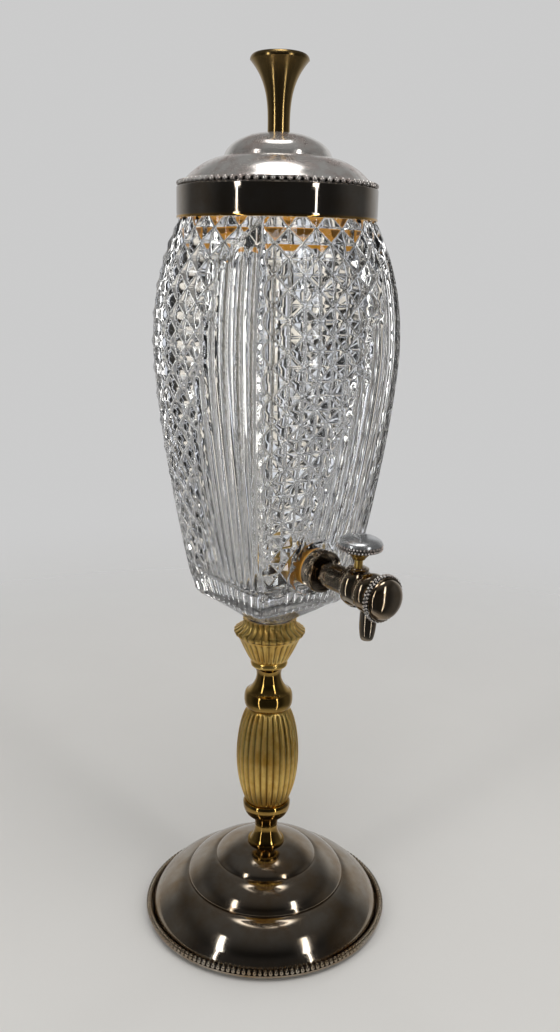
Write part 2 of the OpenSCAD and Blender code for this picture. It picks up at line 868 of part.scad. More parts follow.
module lid_finial() {
  steps = 12;
  lip_z = lid_top + finial_h - finial_lip_round;
  dish_r = finial_lip_r - 2 * finial_lip_round;
  flare = [
    for (i = [0 : steps])
      let (t = i / steps)
      [finial_foot_r + (finial_lip_r - finial_foot_r) * pow(t, finial_curve), lid_top + (lip_z - lid_top) * t]
  ];
  lip = [
    for (a = [15 : 15 : 90])
      [finial_lip_r - finial_lip_round * (1 - cos(a)), lip_z + finial_lip_round * sin(a)]
  ];
  dish = [[dish_r, lip_z + finial_lip_round * 0.7], [0, lip_z + finial_lip_round * 0.3]];
  color(bronze)
    difference() {
      rotate_extrude() polygon(concat([[0, lid_top]], flare, lip, dish));
      translate([0, 0, lid_top - cut]) cylinder(d = finial_stud_d + 2 * thread_gap, h = finial_hold + cut);
    }
}

finial_washer_z = lid_top - sheet_t - finial_washer_t;
finial_nut_z = finial_washer_z - finial_nut_t;

module finial_stud() {
  z_low = finial_nut_z - 1;
  color(steel) translate([0, 0, z_low]) cylinder(d = finial_stud_d, h = lid_top + finial_hold - z_low);
}

module finial_washer() {
  color(steel)
    ring(finial_seat_r - sheet_t, finial_stud_d / 2 + thread_gap, finial_washer_z, finial_washer_t);
}

module finial_nut() {
  color(steel) hex_nut(finial_stud_d / 2 + 2, finial_stud_d / 2 + thread_gap, finial_nut_z, finial_nut_t);
}

// Tap, fixed pieces

module tap_gasket() {
  color(seal_black) along_tap() ring(flange_r - 0.4, shank_d / 2 + thread_gap, tap_seat, gasket_t);
}

module tap_flange() {
  lip = 0.5;
  color(nickel)
    along_tap()
      rotate_extrude()
        polygon([
          [shank_d / 2 + thread_gap, flange_back],
          [flange_r - lip, flange_back],
          [flange_r, flange_back + lip],
          [flange_r, flange_back + flange_h - lip],
          [flange_r - lip, flange_back + flange_h],
          [flange_r - flange_wall - lip, flange_back + flange_h],
          [flange_r - flange_wall - lip, shoulder_s],
          [shank_d / 2 + thread_gap, shoulder_s]
        ]);
}

module inner_gasket() {
  color(seal_black)
    along_tap() ring(inner_part_r, shank_d / 2 + thread_gap, inner_washer_s, gasket_t);
}

module inner_washer() {
  color(gold) along_tap() ring(inner_part_r, shank_d / 2 + thread_gap, lock_nut_s, inner_washer_t);
}

module lock_nut() {
  color(gold)
    along_tap() hex_nut(inner_part_r, shank_d / 2 + thread_gap, lock_nut_s - lock_nut_t, lock_nut_t);
}

// A round ring turned on the tap's body
module body_ring(s) {
  rotate_extrude() translate([ring_r - ring_half, s]) circle(r = ring_half, $fn = 48);
}

module tap_body() {
  color(nickel)
    difference() {
      along_tap() {
        translate([0, 0, shank_end]) cylinder(d = shank_d, h = valve_s - shank_end);
        translate([0, 0, shoulder_s]) cylinder(r = shank_collar_r, h = valve_s - shoulder_s);
        translate([0, 0, valve_s - ring_half]) cylinder(r = ring_foot_r, h = cap_back - valve_s + ring_half);
        translate([0, 0, spout_s]) cylinder(r = spigot_r, h = cap_back + spigot_h - spout_s);
        body_ring(valve_s);
        body_ring(spout_s);
      }
      along_tap() translate([0, 0, shank_end - cut]) cylinder(r = inlet_r, h = valve_s - shank_end + cut);
      on_tap(valve_s) {
        translate([0, 0, -2 * ring_r]) cylinder(r = chamber_r, h = 2 * ring_r + valve_seat_z);
        cylinder(r = seat_bore_r, h = ring_r);
        translate([0, 0, gland_z]) cylinder(r = chamber_r, h = ring_r);
        translate([0, 0, gland_seat_z]) cylinder(r = gland_head_r + 0.3, h = ring_r);
      }
      on_tap(valve_s)
        translate([0, 0, outlet_z]) rotate([90, 0, 0]) cylinder(r = outlet_r, h = 4 * spout_reach);
      on_tap(spout_s) {
        translate([0, 0, -ring_r]) cylinder(d = spout_bore_d, h = ring_r + outlet_z);
        translate([0, 0, tenon_z - 2 * ring_r]) cylinder(r = spout_r + fit_gap, h = 2 * ring_r);
      }
    }
}

module valve_plug() {
  slot = 0.8;
  color(nickel)
    on_tap(valve_s)
      difference() {
        translate([0, 0, plug_bottom]) cylinder(r = chamber_r - fit_gap, h = plug_top - plug_bottom);
        translate([-chamber_r, -slot / 2, plug_bottom - 1]) cube([2 * chamber_r, slot, 1.5]);
      }
}

module gland_seal() {
  color(seal_black)
    on_tap(valve_s) ring(chamber_r - fit_gap, stem_r + fit_gap, gland_z, gland_seal_t);
}

module gland_nut() {
  low = gland_z + gland_seal_t;
  color(nickel)
    on_tap(valve_s)
      difference() {
        union() {
          translate([0, 0, low]) cylinder(r = chamber_r - fit_gap, h = gland_top - low);
          translate([0, 0, gland_seat_z]) cylinder(r = gland_head_r, h = gland_head_h);
        }
        translate([0, 0, low - cut]) cylinder(r = stem_r + fit_gap, h = ring_r + gland_head_h);
      }
}

module spout() {
  straight = 3;
  steps = 7;
  nose_z = -ring_r - straight;
  nose = [
    for (i = [0 : steps])
      let (a = 90 * i / steps)
      [spout_mouth_r + (spout_r - spout_mouth_r) * cos(a), nose_z - (spout_drop + nose_z) * sin(a)]
  ];
  color(nickel)
    on_tap(spout_s)
      rotate_extrude()
        polygon(concat(
          [[spout_bore_d / 2, tenon_z], [spout_r, tenon_z]],
          nose,
          [[spout_bore_d / 2, -spout_drop]]
        ));
}

module front_cap() {
  steps = 8;
  dome = [
    for (i = [0 : steps])
      let (a = 90 * i / steps)
      [cap_body_r * cos(a), cap_front + cap_dome_h * sin(a)]
  ];
  color(nickel)
    along_tap()
      difference() {
        rotate_extrude()
          polygon(concat([[0, cap_back], [ring_foot_r + 0.4, cap_back], [cap_body_r, cap_bead_s]], dome));
        translate([0, 0, cap_back - cut]) cylinder(r = spigot_r + fit_gap, h = spigot_h + cut + thread_gap);
      }
}

module cap_bead_ring() {
  color(silver) along_tap() ring(cap_r, cap_body_r + fit_gap, cap_bead_s, cap_bead_h);
}

// Push button and valve, which move together

module button() {
  steps = 6;
  throat_r = stem_r + 0.9;
  throat_h = 0.2;
  band_step = 0.4;
  cone = waist(button_z, throat_r, button_z + throat_h, throat_r, button_band_z, button_core_r - band_step,
    steps);
  dome = [
    for (i = [0 : steps])
      let (a = 90 * i / steps)
      [button_core_r * cos(a), button_band_z + button_bead_h + button_dome_h * sin(a)]
  ];
  color(nickel)
    on_tap(valve_s)
      difference() {
        rotate_extrude()
          polygon(concat([[0, button_z]], cone, [[button_core_r, button_band_z]], dome));
        translate([0, 0, button_z - cut])
          cylinder(r = stem_r + fit_gap, h = button_cone_h + button_bead_h + cut);
      }
}

module button_bead_ring() {
  color(silver)
    on_tap(valve_s) ring(button_r, button_core_r + fit_gap, button_band_z, button_bead_h);
}

module plunger() {
  top = button_band_z + button_bead_h;
  color(gold)
    on_tap(valve_s) {
      translate([0, 0, poppet_top - poppet_t]) cylinder(r = stem_r, h = top - poppet_top + poppet_t);
      translate([0, 0, poppet_top - poppet_t]) cylinder(r = poppet_r, h = poppet_t);
    }
}

module valve_seal() {
  color(seal_black) on_tap(valve_s) ring(poppet_r, stem_r + fit_gap, poppet_top, seal_t);
}

// Return spring: one tube swept along a helix between the plug and the valve head

spring_r = chamber_r - 0.4 - wire_d / 2;
spring_low = plug_top + wire_d / 2 + fit_gap;
spring_high = poppet_top - poppet_t - wire_d / 2 - fit_gap;
coil_rings = 8;
wire_sides = 6;
spring_rings = coils * coil_rings;

function helix(i) = let (a = 360 * i / coil_rings)
  [spring_r * cos(a), spring_r * sin(a), spring_low + (spring_high - spring_low) * i / spring_rings];

spring_gap = (spring_high - spring_low) / coils - wire_d;
echo(spring_self_gap = spring_gap);

module return_spring() {
  points = [
    for (i = [0 : spring_rings])
      for (k = [0 : wire_sides - 1])
        let (a = 360 * i / coil_rings, b = 360 * k / wire_sides)
        helix(i) + wire_d / 2 * [cos(b) * cos(a), cos(b) * sin(a), sin(b)]
  ];
  rings = spring_rings + 1;
  faces = concat(side_faces(rings, wire_sides), end_faces(rings, wire_sides));
  color(steel) on_tap(valve_s) polyhedron(points = points, faces = faces);
}

felt_pad();
base_plate();
base_weight();
base_dome();
base_bead_ring();
rod_washer();
rod_nut();
tie_rod();
stem_foot();
lower_knop();
baluster();
upper_knop();
stem_collar();
cup_bowl();
cup_crown();
vessel_cement();
glass_vessel();
collar_cement();
neck_collar();
lid_dome();
lid_bead_ring();
lid_liner();
lid_finial();
finial_stud();
finial_washer();
finial_nut();
tap_gasket();
tap_flange();
inner_gasket();
inner_washer();
lock_nut();
tap_body();
valve_plug();
gland_seal();
gland_nut();
spout();
front_cap();
cap_bead_ring();
button();
button_bead_ring();
plunger();
valve_seal();
return_spring();
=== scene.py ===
# %% [markdown]
# # An absinthe fountain
# The fountain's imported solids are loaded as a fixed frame, which gives every piece its place and size.
# The solids have the main forms in plain facets, so each visible piece is made again here with the detail
# of the real one: beads, round reeds, hollow flutes and the sharp diamonds of the glass. Pieces that are
# hidden, or nearly so, keep their solids, apart from the spring, which has to shorten.

# %% Load the frame
import json
import math

import bpy
import numpy as np
from mathutils import Matrix, Vector

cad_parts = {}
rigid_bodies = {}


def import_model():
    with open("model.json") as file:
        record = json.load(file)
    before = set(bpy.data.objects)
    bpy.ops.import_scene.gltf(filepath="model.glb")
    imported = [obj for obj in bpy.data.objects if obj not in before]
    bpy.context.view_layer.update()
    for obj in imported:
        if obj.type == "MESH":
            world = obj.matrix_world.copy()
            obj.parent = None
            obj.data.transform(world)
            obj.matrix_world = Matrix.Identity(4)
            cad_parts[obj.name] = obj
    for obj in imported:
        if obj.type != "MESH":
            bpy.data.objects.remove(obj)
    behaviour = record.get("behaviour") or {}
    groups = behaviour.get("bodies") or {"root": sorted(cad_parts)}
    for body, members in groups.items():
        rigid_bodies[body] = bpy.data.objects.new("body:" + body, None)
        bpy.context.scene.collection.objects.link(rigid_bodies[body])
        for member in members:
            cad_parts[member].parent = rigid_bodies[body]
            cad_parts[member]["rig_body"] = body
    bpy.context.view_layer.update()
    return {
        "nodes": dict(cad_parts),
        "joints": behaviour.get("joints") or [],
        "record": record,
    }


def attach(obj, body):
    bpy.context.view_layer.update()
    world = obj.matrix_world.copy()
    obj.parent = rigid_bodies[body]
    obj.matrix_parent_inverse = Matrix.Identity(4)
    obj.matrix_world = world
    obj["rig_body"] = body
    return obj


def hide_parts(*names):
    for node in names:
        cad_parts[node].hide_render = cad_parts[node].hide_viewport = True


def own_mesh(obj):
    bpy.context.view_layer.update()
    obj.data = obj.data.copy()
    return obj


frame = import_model()
MM = 0.001
slot_of = {part["node"]: part["material_slot"] for part in frame["record"]["subparts"]}
joint_axis = {joint["name"]: Vector(joint["axis"]) for joint in frame["joints"]}

# %% [markdown]
# ## Camera
# The round rings of the base, stem and collar look like ellipses in the photograph. Fitting a pinhole
# camera to them gave its place and tilt, so the camera is set by numbers and not by eye. The tap points
# to the right of the camera, and the camera was held a little askew.

# %% Camera
PHOTO_HEIGHT_PX = 1032
FOCAL_PX = 1000
SENSOR_MM = 36
NEAREST_M = 0.01
TAP_TURN = math.radians(38.5)
CAMERA_MM = Vector((3.75, -438.8, 309.7))
LOOK_DOWN = math.radians(14.05)
ASKEW = math.radians(1.15)

photo_side = Matrix.Rotation(-TAP_TURN, 4, "Z")
bpy.ops.object.select_all(action="DESELECT")
bpy.ops.object.camera_add()
camera = bpy.context.object
camera.matrix_world = (
    photo_side
    @ Matrix.Translation(CAMERA_MM * MM)
    @ Matrix.Rotation(math.pi / 2 - LOOK_DOWN, 4, "X")
    @ Matrix.Rotation(ASKEW, 4, "Z")
)
camera.data.sensor_fit = "VERTICAL"
camera.data.sensor_height = SENSOR_MM
camera.data.lens = SENSOR_MM * FOCAL_PX / PHOTO_HEIGHT_PX
camera.data.clip_start = NEAREST_M
bpy.context.scene.camera = camera
bpy.context.scene.view_settings.view_transform = "Standard"
print("camera at", [round(value, 3) for value in camera.location])

# %% [markdown]
# ## Colours and nodes
# Colours are written as sRGB hex codes, as a paint chart gives them, and Blender's shaders want linear
# light, so one function turns the one into the other. A second function adds a node with its settings
# and links, which keeps every finish below readable as a list of steps.

# %% Helpers for finishes
def linear(code):
    """An sRGB hex code as linear red, green, blue and alpha."""
    parts = [int(code[i:i + 2], 16) / 255 for i in (1, 3, 5)]
    return [p / 12.92 if p <= 0.04045 else ((p + 0.055) / 1.055) ** 2.4 for p in parts] + [1.0]


def feed(tree, node, inputs):
    """Gives a node its inputs: a socket is linked, and any other value is set."""
    for name, value in inputs.items():
        if isinstance(value, bpy.types.NodeSocket):
            tree.links.new(value, node.inputs[name])
        else:
            node.inputs[name].default_value = value
    return node


def add(tree, kind, inputs, **settings):
    """A new node with its settings and inputs."""
    node = tree.nodes.new("ShaderNode" + kind)
    for name, value in settings.items():
        setattr(node, name, value)
    return feed(tree, node, inputs)


def mixed(tree, share, first, second):
    """Two colours mixed by a share."""
    return add(tree, "Mix", {0: share, 6: first, 7: second}, data_type="RGBA").outputs[2]


def spread(tree, value, ends, results=(0.0, 1.0), kind="LINEAR"):
    """A value taken from one range to another."""
    node = add(tree, "MapRange", {
        "Value": value, "From Min": ends[0], "From Max": ends[1], "To Min": results[0], "To Max": results[1],
    }, interpolation_type=kind)
    return node.outputs["Result"]


def blank(name):
    """An empty finish: the material, its node tree and its shader."""
    material = bpy.data.materials.new(name)
    material.use_nodes = True
    return material, material.node_tree, material.node_tree.nodes["Principled BSDF"]


print("pale grey is", [round(value, 3) for value in linear("#d9d7d3")])

# %% [markdown]
# ## Studio
# Polished metal and cut glass show mostly what stands round them, so the studio matters as much as the
# finishes. The camera sees one even pale tone. Mirrors see a room that is pale behind the object, dark on
# the camera's side and bright straight overhead. Light that is bent by the glass sees pale panels all round
# with dark gaps between them, as a photographer puts up, because they give the facets their dark sides.

# %% Room
BACKGROUND = 0.60
ROOM_LIGHT = 0.40
MIRRORED_BACK = 0.55
DARK_SIDE = 0.03
SIDE_TONE = 0.11
CEILING_SHARE = 0.12
OVERHEAD_VEIL = 0.1
OVERHEAD_GLOW = 6.0
GLOW_BACK = 0.2
PANELS = 20
PANEL_TONE = 0.9
PANEL_TOP_SHARE = 0.1
GAP_TONE = 0.03
WARM = "#fff8ec"
COOL = "#f2f6ff"
WHITE = (1, 1, 1, 1)
# An edge is where a tone changes: in a ray's height, in its nearness to an axis or in a wave round the room.
GLOW_EDGE = (0.965, 0.995)
VEIL_EDGE = (0.3, 0.95)
CEILING_EDGE = (0.3, 0.65)
BACK_EDGE = (-0.35, -0.9)
FRONT_EDGE = (-0.1, 0.5)
PANEL_EDGE = (0.0, 0.6)
PANEL_TOP_EDGE = (0.05, 0.4)
TINT_EDGE = (-0.5, 0.5)

world = bpy.data.worlds.new("studio_room")
bpy.context.scene.world = world
world.use_nodes = True
room = world.node_tree
lit = feed(room, room.nodes["Background"], {"Color": WHITE, "Strength": ROOM_LIGHT})
direction = add(room, "TexCoord", {}).outputs["Generated"]
height = add(room, "SeparateXYZ", {"Vector": direction}).outputs["Z"]
to_camera = photo_side.to_3x3() @ Vector((0, -1, 0))
to_right = photo_side.to_3x3() @ Vector((1, 0, 0))


def nearness(axis):
    """How far a ray points along an axis, from -1 to 1."""
    return add(room, "VectorMath", {0: direction, 1: axis}, operation="DOT_PRODUCT").outputs["Value"]


def ramp(value, edge, at_start, at_end):
    """A soft change of tone over an edge."""
    return spread(room, value, edge, (at_start, at_end), "SMOOTHSTEP")


def maths(operation, first, second=0.0):
    """One step of arithmetic on tones or angles."""
    return add(room, "Math", {0: first, 1: second}, operation=operation).outputs["Value"]


towards = nearness(to_camera)
aside = nearness(to_right)
# The glow lies a little behind the zenith: the lid mirrors it, and the glass hides it from the base.
to_glow = Vector((0, 0, 1)) - GLOW_BACK * to_camera
overhead = nearness(to_glow.normalized())
glow = ramp(overhead, GLOW_EDGE, 0.0, OVERHEAD_GLOW)
veil = ramp(overhead, VEIL_EDGE, 0.0, OVERHEAD_VEIL)
upper = ramp(height, CEILING_EDGE, 1.0, CEILING_SHARE)
behind = ramp(towards, BACK_EDGE, SIDE_TONE, MIRRORED_BACK)
front = ramp(towards, FRONT_EDGE, 1.0, DARK_SIDE / SIDE_TONE)
walls = maths("MULTIPLY", maths("MULTIPLY", behind, front), upper)
mirrored_tone = maths("ADD", walls, maths("ADD", veil, glow))
mirrored_room = add(room, "Background", {"Color": WHITE, "Strength": mirrored_tone})

azimuth = maths("ARCTAN2", aside, towards)
panel_wave = maths("COSINE", maths("MULTIPLY", azimuth, PANELS))
panel = ramp(panel_wave, PANEL_EDGE, GAP_TONE, PANEL_TONE)
panel = maths("MULTIPLY", panel, ramp(height, PANEL_TOP_EDGE, 1.0, PANEL_TOP_SHARE))
tint_wave = maths("COSINE", maths("MULTIPLY", azimuth, PANELS / 2))
tint = mixed(room, ramp(tint_wave, TINT_EDGE, 0.0, 1.0), linear(COOL), linear(WARM))
bent_room = add(room, "Background", {"Color": tint, "Strength": maths("ADD", panel, glow)})

plain_room = add(room, "Background", {"Color": WHITE, "Strength": BACKGROUND})
rays = add(room, "LightPath", {}).outputs
# Light bent by clear glass counts as glossy too, so the tone for bent light is laid over the mirrored one.
tone = lit
for ray, other in (
    ("Is Glossy Ray", mirrored_room),
    ("Is Transmission Ray", bent_room),
    ("Is Camera Ray", plain_room),
):
    tone = add(room, "MixShader", {0: rays[ray], 1: tone.outputs[0], 2: other.outputs[0]})
room.links.new(tone.outputs[0], room.nodes["World Output"].inputs["Surface"])
print("room seen at", BACKGROUND, "and lit at", ROOM_LIGHT)

# %% Floor
FLOOR_R = 1.5
FLOOR_SIDES = 96
FLOOR_FADE = (0.2, 0.8)
MIRROR_FADE = (0.04, 0.24)
MOTTLE_PER_M = 9.0
BOARD_ROUGHNESS = 0.7

bpy.ops.object.select_all(action="DESELECT")
bpy.ops.mesh.primitive_circle_add(vertices=FLOOR_SIDES, radius=FLOOR_R, fill_type="NGON")
floor = bpy.context.object
floor.name = "floor"
# Matt painted board: pale and even near the object, and further off it melts into the room.
board, tree, shader = blank("painted_board")
place = add(tree, "TexCoord", {}).outputs["Object"]
mottle = add(tree, "TexNoise", {"Vector": place, "Scale": MOTTLE_PER_M, "Detail": 4.0}).outputs["Fac"]
shade = mixed(tree, mottle, linear("#d6d4d0"), linear("#dcdad6"))
feed(tree, shader, {"Base Color": shade, "Roughness": BOARD_ROUGHNESS})
reach = add(tree, "VectorMath", {0: place}, operation="LENGTH").outputs["Value"]
seen_fade = spread(tree, reach, FLOOR_FADE, kind="SMOOTHSTEP")
mirror_fade = spread(tree, reach, MIRROR_FADE, kind="SMOOTHSTEP")
# Mirrors and glass see less of the floor than the camera does, so that metal keeps its dark sides.
mirror_ray = add(tree, "LightPath", {}).outputs["Is Glossy Ray"]
far = add(tree, "Mix", {0: mirror_ray, 2: seen_fade, 3: mirror_fade})
clear = add(tree, "BsdfTransparent", {})
blend = add(tree, "MixShader", {0: far.outputs[0], 1: shader.outputs[0], 2: clear.outputs[0]})
tree.links.new(blend.outputs[0], tree.nodes["Material Output"].inputs["Surface"])
floor.data.materials.append(board)
print("floor radius", FLOOR_R)

# %% Lamps
AIM = Vector((0, 0, 0.2))
OVERHEAD_BOX = (1.0, 0.7)
FRONT_BOX = (0.12, 0.8)
STRIP = (0.03, 1.4)
REAR_STRIP = (0.10, 0.9)


def soft_box(name, azimuth, elevation, distance, size, radiance, raised=0.0, lean=0.0, mirrored=True):
    """A lamp of (width, height) that looks at the object, at an azimuth from the camera's side.

    It may be raised together with its aim, and it may lean sideways by some degrees.
    """
    bpy.ops.object.select_all(action="DESELECT")
    bpy.ops.object.light_add(type="AREA")
    lamp = bpy.context.object
    lamp.name = name
    turn = Matrix.Rotation(-TAP_TURN + math.radians(azimuth), 4, "Z")
    rise = Matrix.Rotation(math.pi / 2 - math.radians(elevation), 4, "X")
    middle = Matrix.Translation(AIM + Vector((0, 0, raised)))
    tilt = Matrix.Rotation(math.radians(lean), 4, "Z")
    lamp.matrix_world = middle @ turn @ rise @ Matrix.Translation((0, 0, distance)) @ tilt
    lamp.data.shape = "RECTANGLE"
    lamp.data.size, lamp.data.size_y = size
    lamp.data.energy = radiance * math.pi * size[0] * size[1]
    lamp.visible_camera = False
    lamp.visible_glossy = mirrored
    print(name, round(lamp.data.energy, 1), "W")


# The box overhead only lights: its mirror image would be a hard rectangle, and the room's glow stands for it.
soft_box("overhead_soft_box", 20, 68, 1.2, OVERHEAD_BOX, 3.4, mirrored=False)
# Two soft boxes in front give the tiers of the base their upright highlights.
soft_box("left_front_box", -48, 0, 1.0, FRONT_BOX, 6.0, raised=0.65, lean=13)
soft_box("right_front_box", 47, 0, 1.0, FRONT_BOX, 6.0, raised=0.65, lean=-13)
# Narrow strips go on below them and past the board, so upright metal mirrors them along its whole length.
soft_box("left_strip", -44, 0, 1.0, STRIP, 9.0, raised=-0.3)
soft_box("right_strip", 43, 0, 1.0, STRIP, 9.0, raised=-0.3)
# Two strips at the back only light the far sides.
soft_box("left_rear_strip", -142, 10, 1.2, REAR_STRIP, 5.0, mirrored=False)
soft_box("right_rear_strip", 142, 10, 1.2, REAR_STRIP, 5.0, mirrored=False)

# %% [markdown]
# ## Metal finishes
# Nearly all the metals are polished, so their look comes from colour, gloss and small faults. Plate wears
# through in soft patches, polishing leaves fine lines round a turned piece, old silver gets specks, and
# grooves and the gaps between beads get a painted shade. One recipe takes these as settings, and each
# finish below is named for its metal.

# %% Polished metal
WEAR_EDGE = (0.4, 0.7)
SPOT_EDGE = (0.16, 0.34)
SPOT_SHARE = 0.9
SPOT_DULLING = 0.25
LINE_MM = 0.5
LINE_ENDS_PER_M = 60
LINE_DEPTH_MM = 0.02
BRUSHING = 0.8
BRUSH_TURN = 0.25


def polished_metal(
    name, clean, worn, gloss, patch_mm, lines=0.15, speck=None, groove=None, lip=None, haze=0.0,
):
    """Metal that goes from a clean to a worn colour in patches, with gloss = (clean, worn) roughness.

    A speck is (colour, spacing), a groove is the colour where the attribute of that name is one: painted
    shade in reed grooves and on the wire between beads, and bare brass on the button's cone. A lip is
    (colour, low, high) and fades into the metal between these heights.
    """
    material, tree, shader = blank(name)
    place = add(tree, "TexCoord", {}).outputs["Object"]
    patches = add(tree, "TexNoise", {
        "Vector": place, "Scale": 1 / (patch_mm * MM), "Detail": 6.0, "Roughness": 0.62,
    })
    wear = spread(tree, patches.outputs["Fac"], WEAR_EDGE)
    colour = mixed(tree, wear, linear(clean), linear(worn))
    rough = spread(tree, wear, (0.0, 1.0), gloss)
    if speck:
        code, spacing_mm = speck
        cells = add(tree, "TexVoronoi", {"Vector": place, "Scale": 1 / (spacing_mm * MM)})
        spots = spread(tree, cells.outputs["Distance"], SPOT_EDGE, (SPOT_SHARE, 0.0))
        spots = add(tree, "Math", {0: spots, 1: wear}, operation="MULTIPLY").outputs[0]
        colour = mixed(tree, spots, colour, linear(code))
        rough = add(tree, "Math", {0: spots, 1: SPOT_DULLING, 2: rough}, operation="MULTIPLY_ADD").outputs[0]
    # The marked parts take the groove colour: painted shade in reed grooves and on the wire between beads,
    # and bare brass on the button's cone.
    if groove:
        depth = add(tree, "Attribute", {}, attribute_name="groove").outputs["Fac"]
        colour = mixed(tree, depth, colour, linear(groove))
    if lip:
        code, low_mm, high_mm = lip
        level = add(tree, "SeparateXYZ", {"Vector": place}).outputs["Z"]
        bare = spread(tree, level, (low_mm * MM, high_mm * MM), (1.0, 0.0))
        colour = mixed(tree, bare, colour, linear(code))
    # Polishing lines lie a tenth of a millimetre apart, too fine to show, and are drawn at half a millimetre.
    line_scale = (LINE_ENDS_PER_M, LINE_ENDS_PER_M, 1 / (LINE_MM * MM))
    drawn_out = add(tree, "Mapping", {"Vector": place, "Scale": line_scale})
    drawn_out = drawn_out.outputs["Vector"]
    hair = add(tree, "TexNoise", {"Vector": drawn_out, "Scale": 1.0, "Detail": 3.0}).outputs["Fac"]
    bump = add(tree, "Bump", {"Height": hair, "Strength": lines, "Distance": LINE_DEPTH_MM * MM})
    feed(tree, shader, {
        "Base Color": colour, "Roughness": rough, "Normal": bump.outputs["Normal"], "Metallic": 1.0 - haze,
    })
    return material


# Nickel plate on brass: a dark mirror that turns warm where the plate is thin, with shade painted near
# black on the wire between the base's beads.
nickel = polished_metal("nickel_plate", "#aaa092", "#957f63", (0.08, 0.15), 16, groove="#15110d")
# Silver plate: bright and clear, with pinkish haze and grey specks where polish has dulled it, and shade
# painted near black on the wires between its beads.
silver = polished_metal(
    "silver_plate", "#eae7e2", "#cbb7ae", (0.12, 0.26), 9,
    speck=("#3d332d", 1.6), groove="#15110d", haze=0.18,
)
# Silver plate kept as a mirror on the collar, with polishing lines round it and a lip worn to the brass.
mirror_silver = polished_metal(
    "mirror_silver_plate", "#9a938a", "#8b7d6c", (0.04, 0.08), 14, lines=0.4, lip=("#c99f55", 328.7, 329.3),
)
# Gilt brass: a satin yellow gold on the ridges, with dark brown shade painted into the grooves.
gilt = polished_metal("gilt_brass", "#f6d27c", "#d9a850", (0.28, 0.3), 9, lines=0.01, groove="#1f1306")
# Dark brass: the same metal under a brown lacquer, and still glossy.
dark_brass = polished_metal("lacquered_brass", "#b3924f", "#8c6d3b", (0.06, 0.13), 12)
# Nickel plate kept bright and cool on the button's top, over a cone of bare brass.
button_nickel = polished_metal(
    "bright_nickel_plate", "#d6d8da", "#b4b4b2", (0.2, 0.3), 6, groove="#b08a42", haze=0.1,
)
# Satin bronze of the finial: brown gold, brushed round, with a broad soft highlight.
satin_bronze = polished_metal("satin_bronze", "#a58a58", "#806a42", (0.2, 0.28), 11, lines=0.3)
# Brushing round the finial draws its highlights out along the trumpet.
tree = satin_bronze.node_tree
round_the_axis = add(tree, "Tangent", {}, direction_type="RADIAL", axis="Z").outputs["Tangent"]
feed(tree, tree.nodes["Principled BSDF"], {
    "Tangent": round_the_axis, "Anisotropic": BRUSHING, "Anisotropic Rotation": BRUSH_TURN,
})
# Plain turned steel for rods, nuts and washers, which are hidden.
steel = polished_metal("turned_steel", "#8f9092", "#6f6c68", (0.3, 0.45), 6)
metals = (nickel, silver, mirror_silver, gilt, dark_brass, button_nickel, satin_bronze, steel)
print("metals", [metal.name for metal in metals])

# %% [markdown]
# ## Glass and the other finishes
# Pressed glass is clear and colourless, with the faint waves that a cooling mould leaves. The putty that
# beds it is brown below and amber in the collar. Rubber, felt and cast iron are matt, and grain is what
# tells them apart.

# %% Glass and matt finishes
WAVE_MM = 6
WAVE_DEPTH_MM = 0.1
WAVE_STRENGTH = 0.12
CRYSTAL_IOR = 1.54
GRAIN_STRENGTH = 0.5
PAINTED_RESIN_GLOW = 0.4

# Pressed crystal: clear, with a strong bend of light that makes the facets sparkle.
crystal, tree, shader = blank("pressed_crystal_glass")
place = add(tree, "TexCoord", {}).outputs["Object"]
waves = add(tree, "TexNoise", {"Vector": place, "Scale": 1 / (WAVE_MM * MM), "Detail": 2.0}).outputs["Fac"]
bump = add(tree, "Bump", {"Height": waves, "Strength": WAVE_STRENGTH, "Distance": WAVE_DEPTH_MM * MM})
feed(tree, shader, {
    "Base Color": linear("#fdfdfc"), "Normal": bump.outputs["Normal"],
    "Transmission Weight": 1.0, "Roughness": 0.0, "IOR": CRYSTAL_IOR,
})


def grained(name, dark, pale, grain_mm, roughness, depth_mm):
    """A matt finish with a grain of one size."""
    material, tree, shader = blank(name)
    place = add(tree, "TexCoord", {}).outputs["Object"]
    grain = add(tree, "TexNoise", {"Vector": place, "Scale": 1 / (grain_mm * MM), "Detail": 5.0})
    grain = grain.outputs["Fac"]
    bump = add(tree, "Bump", {"Height": grain, "Strength": GRAIN_STRENGTH, "Distance": depth_mm * MM})
    colour = mixed(tree, grain, linear(dark), linear(pale))
    feed(tree, shader, {"Base Color": colour, "Roughness": roughness, "Normal": bump.outputs["Normal"]})
    return material


# Brown putty under the glass: resin and filler, dull where it has dried.
putty = grained("brown_putty", "#4a2c12", "#8a5a26", 2.5, 0.45, 0.2)
# Amber putty in the collar: the same resin with less filler, glossy where it lies against the glass.
amber = grained("amber_putty", "#cf8a24", "#f6bf58", 2.5, 0.25, 0.2)
# The resin would pass on light that the glass leads into it, and a faint painted glow stands for that, so the
# putty glows though it is no lamp.
tree = amber.node_tree
feed(tree, tree.nodes["Principled BSDF"], {
    "Emission Color": linear("#eba93f"), "Emission Strength": PAINTED_RESIN_GLOW,
})
# Black rubber: matt, with a fine moulded grain.
rubber = grained("moulded_rubber", "#161513", "#2a2826", 0.8, 0.6, 0.05)
# Gum rubber: amber, so it colours the glass that lies against it.
gum_rubber = grained("gum_rubber", "#c9852a", "#f0b04a", 1.2, 0.4, 0.05)
# Wool felt: short fibres, dark green grey.
felt = grained("wool_felt", "#23261f", "#3f443a", 0.6, 0.95, 0.3)
# Cast iron: rough from the sand mould.
iron = grained("sand_cast_iron", "#2b2927", "#4a4743", 1.5, 0.7, 0.4)
print("matt finishes", [matt.name for matt in (putty, amber, rubber, gum_rubber, felt, iron)])

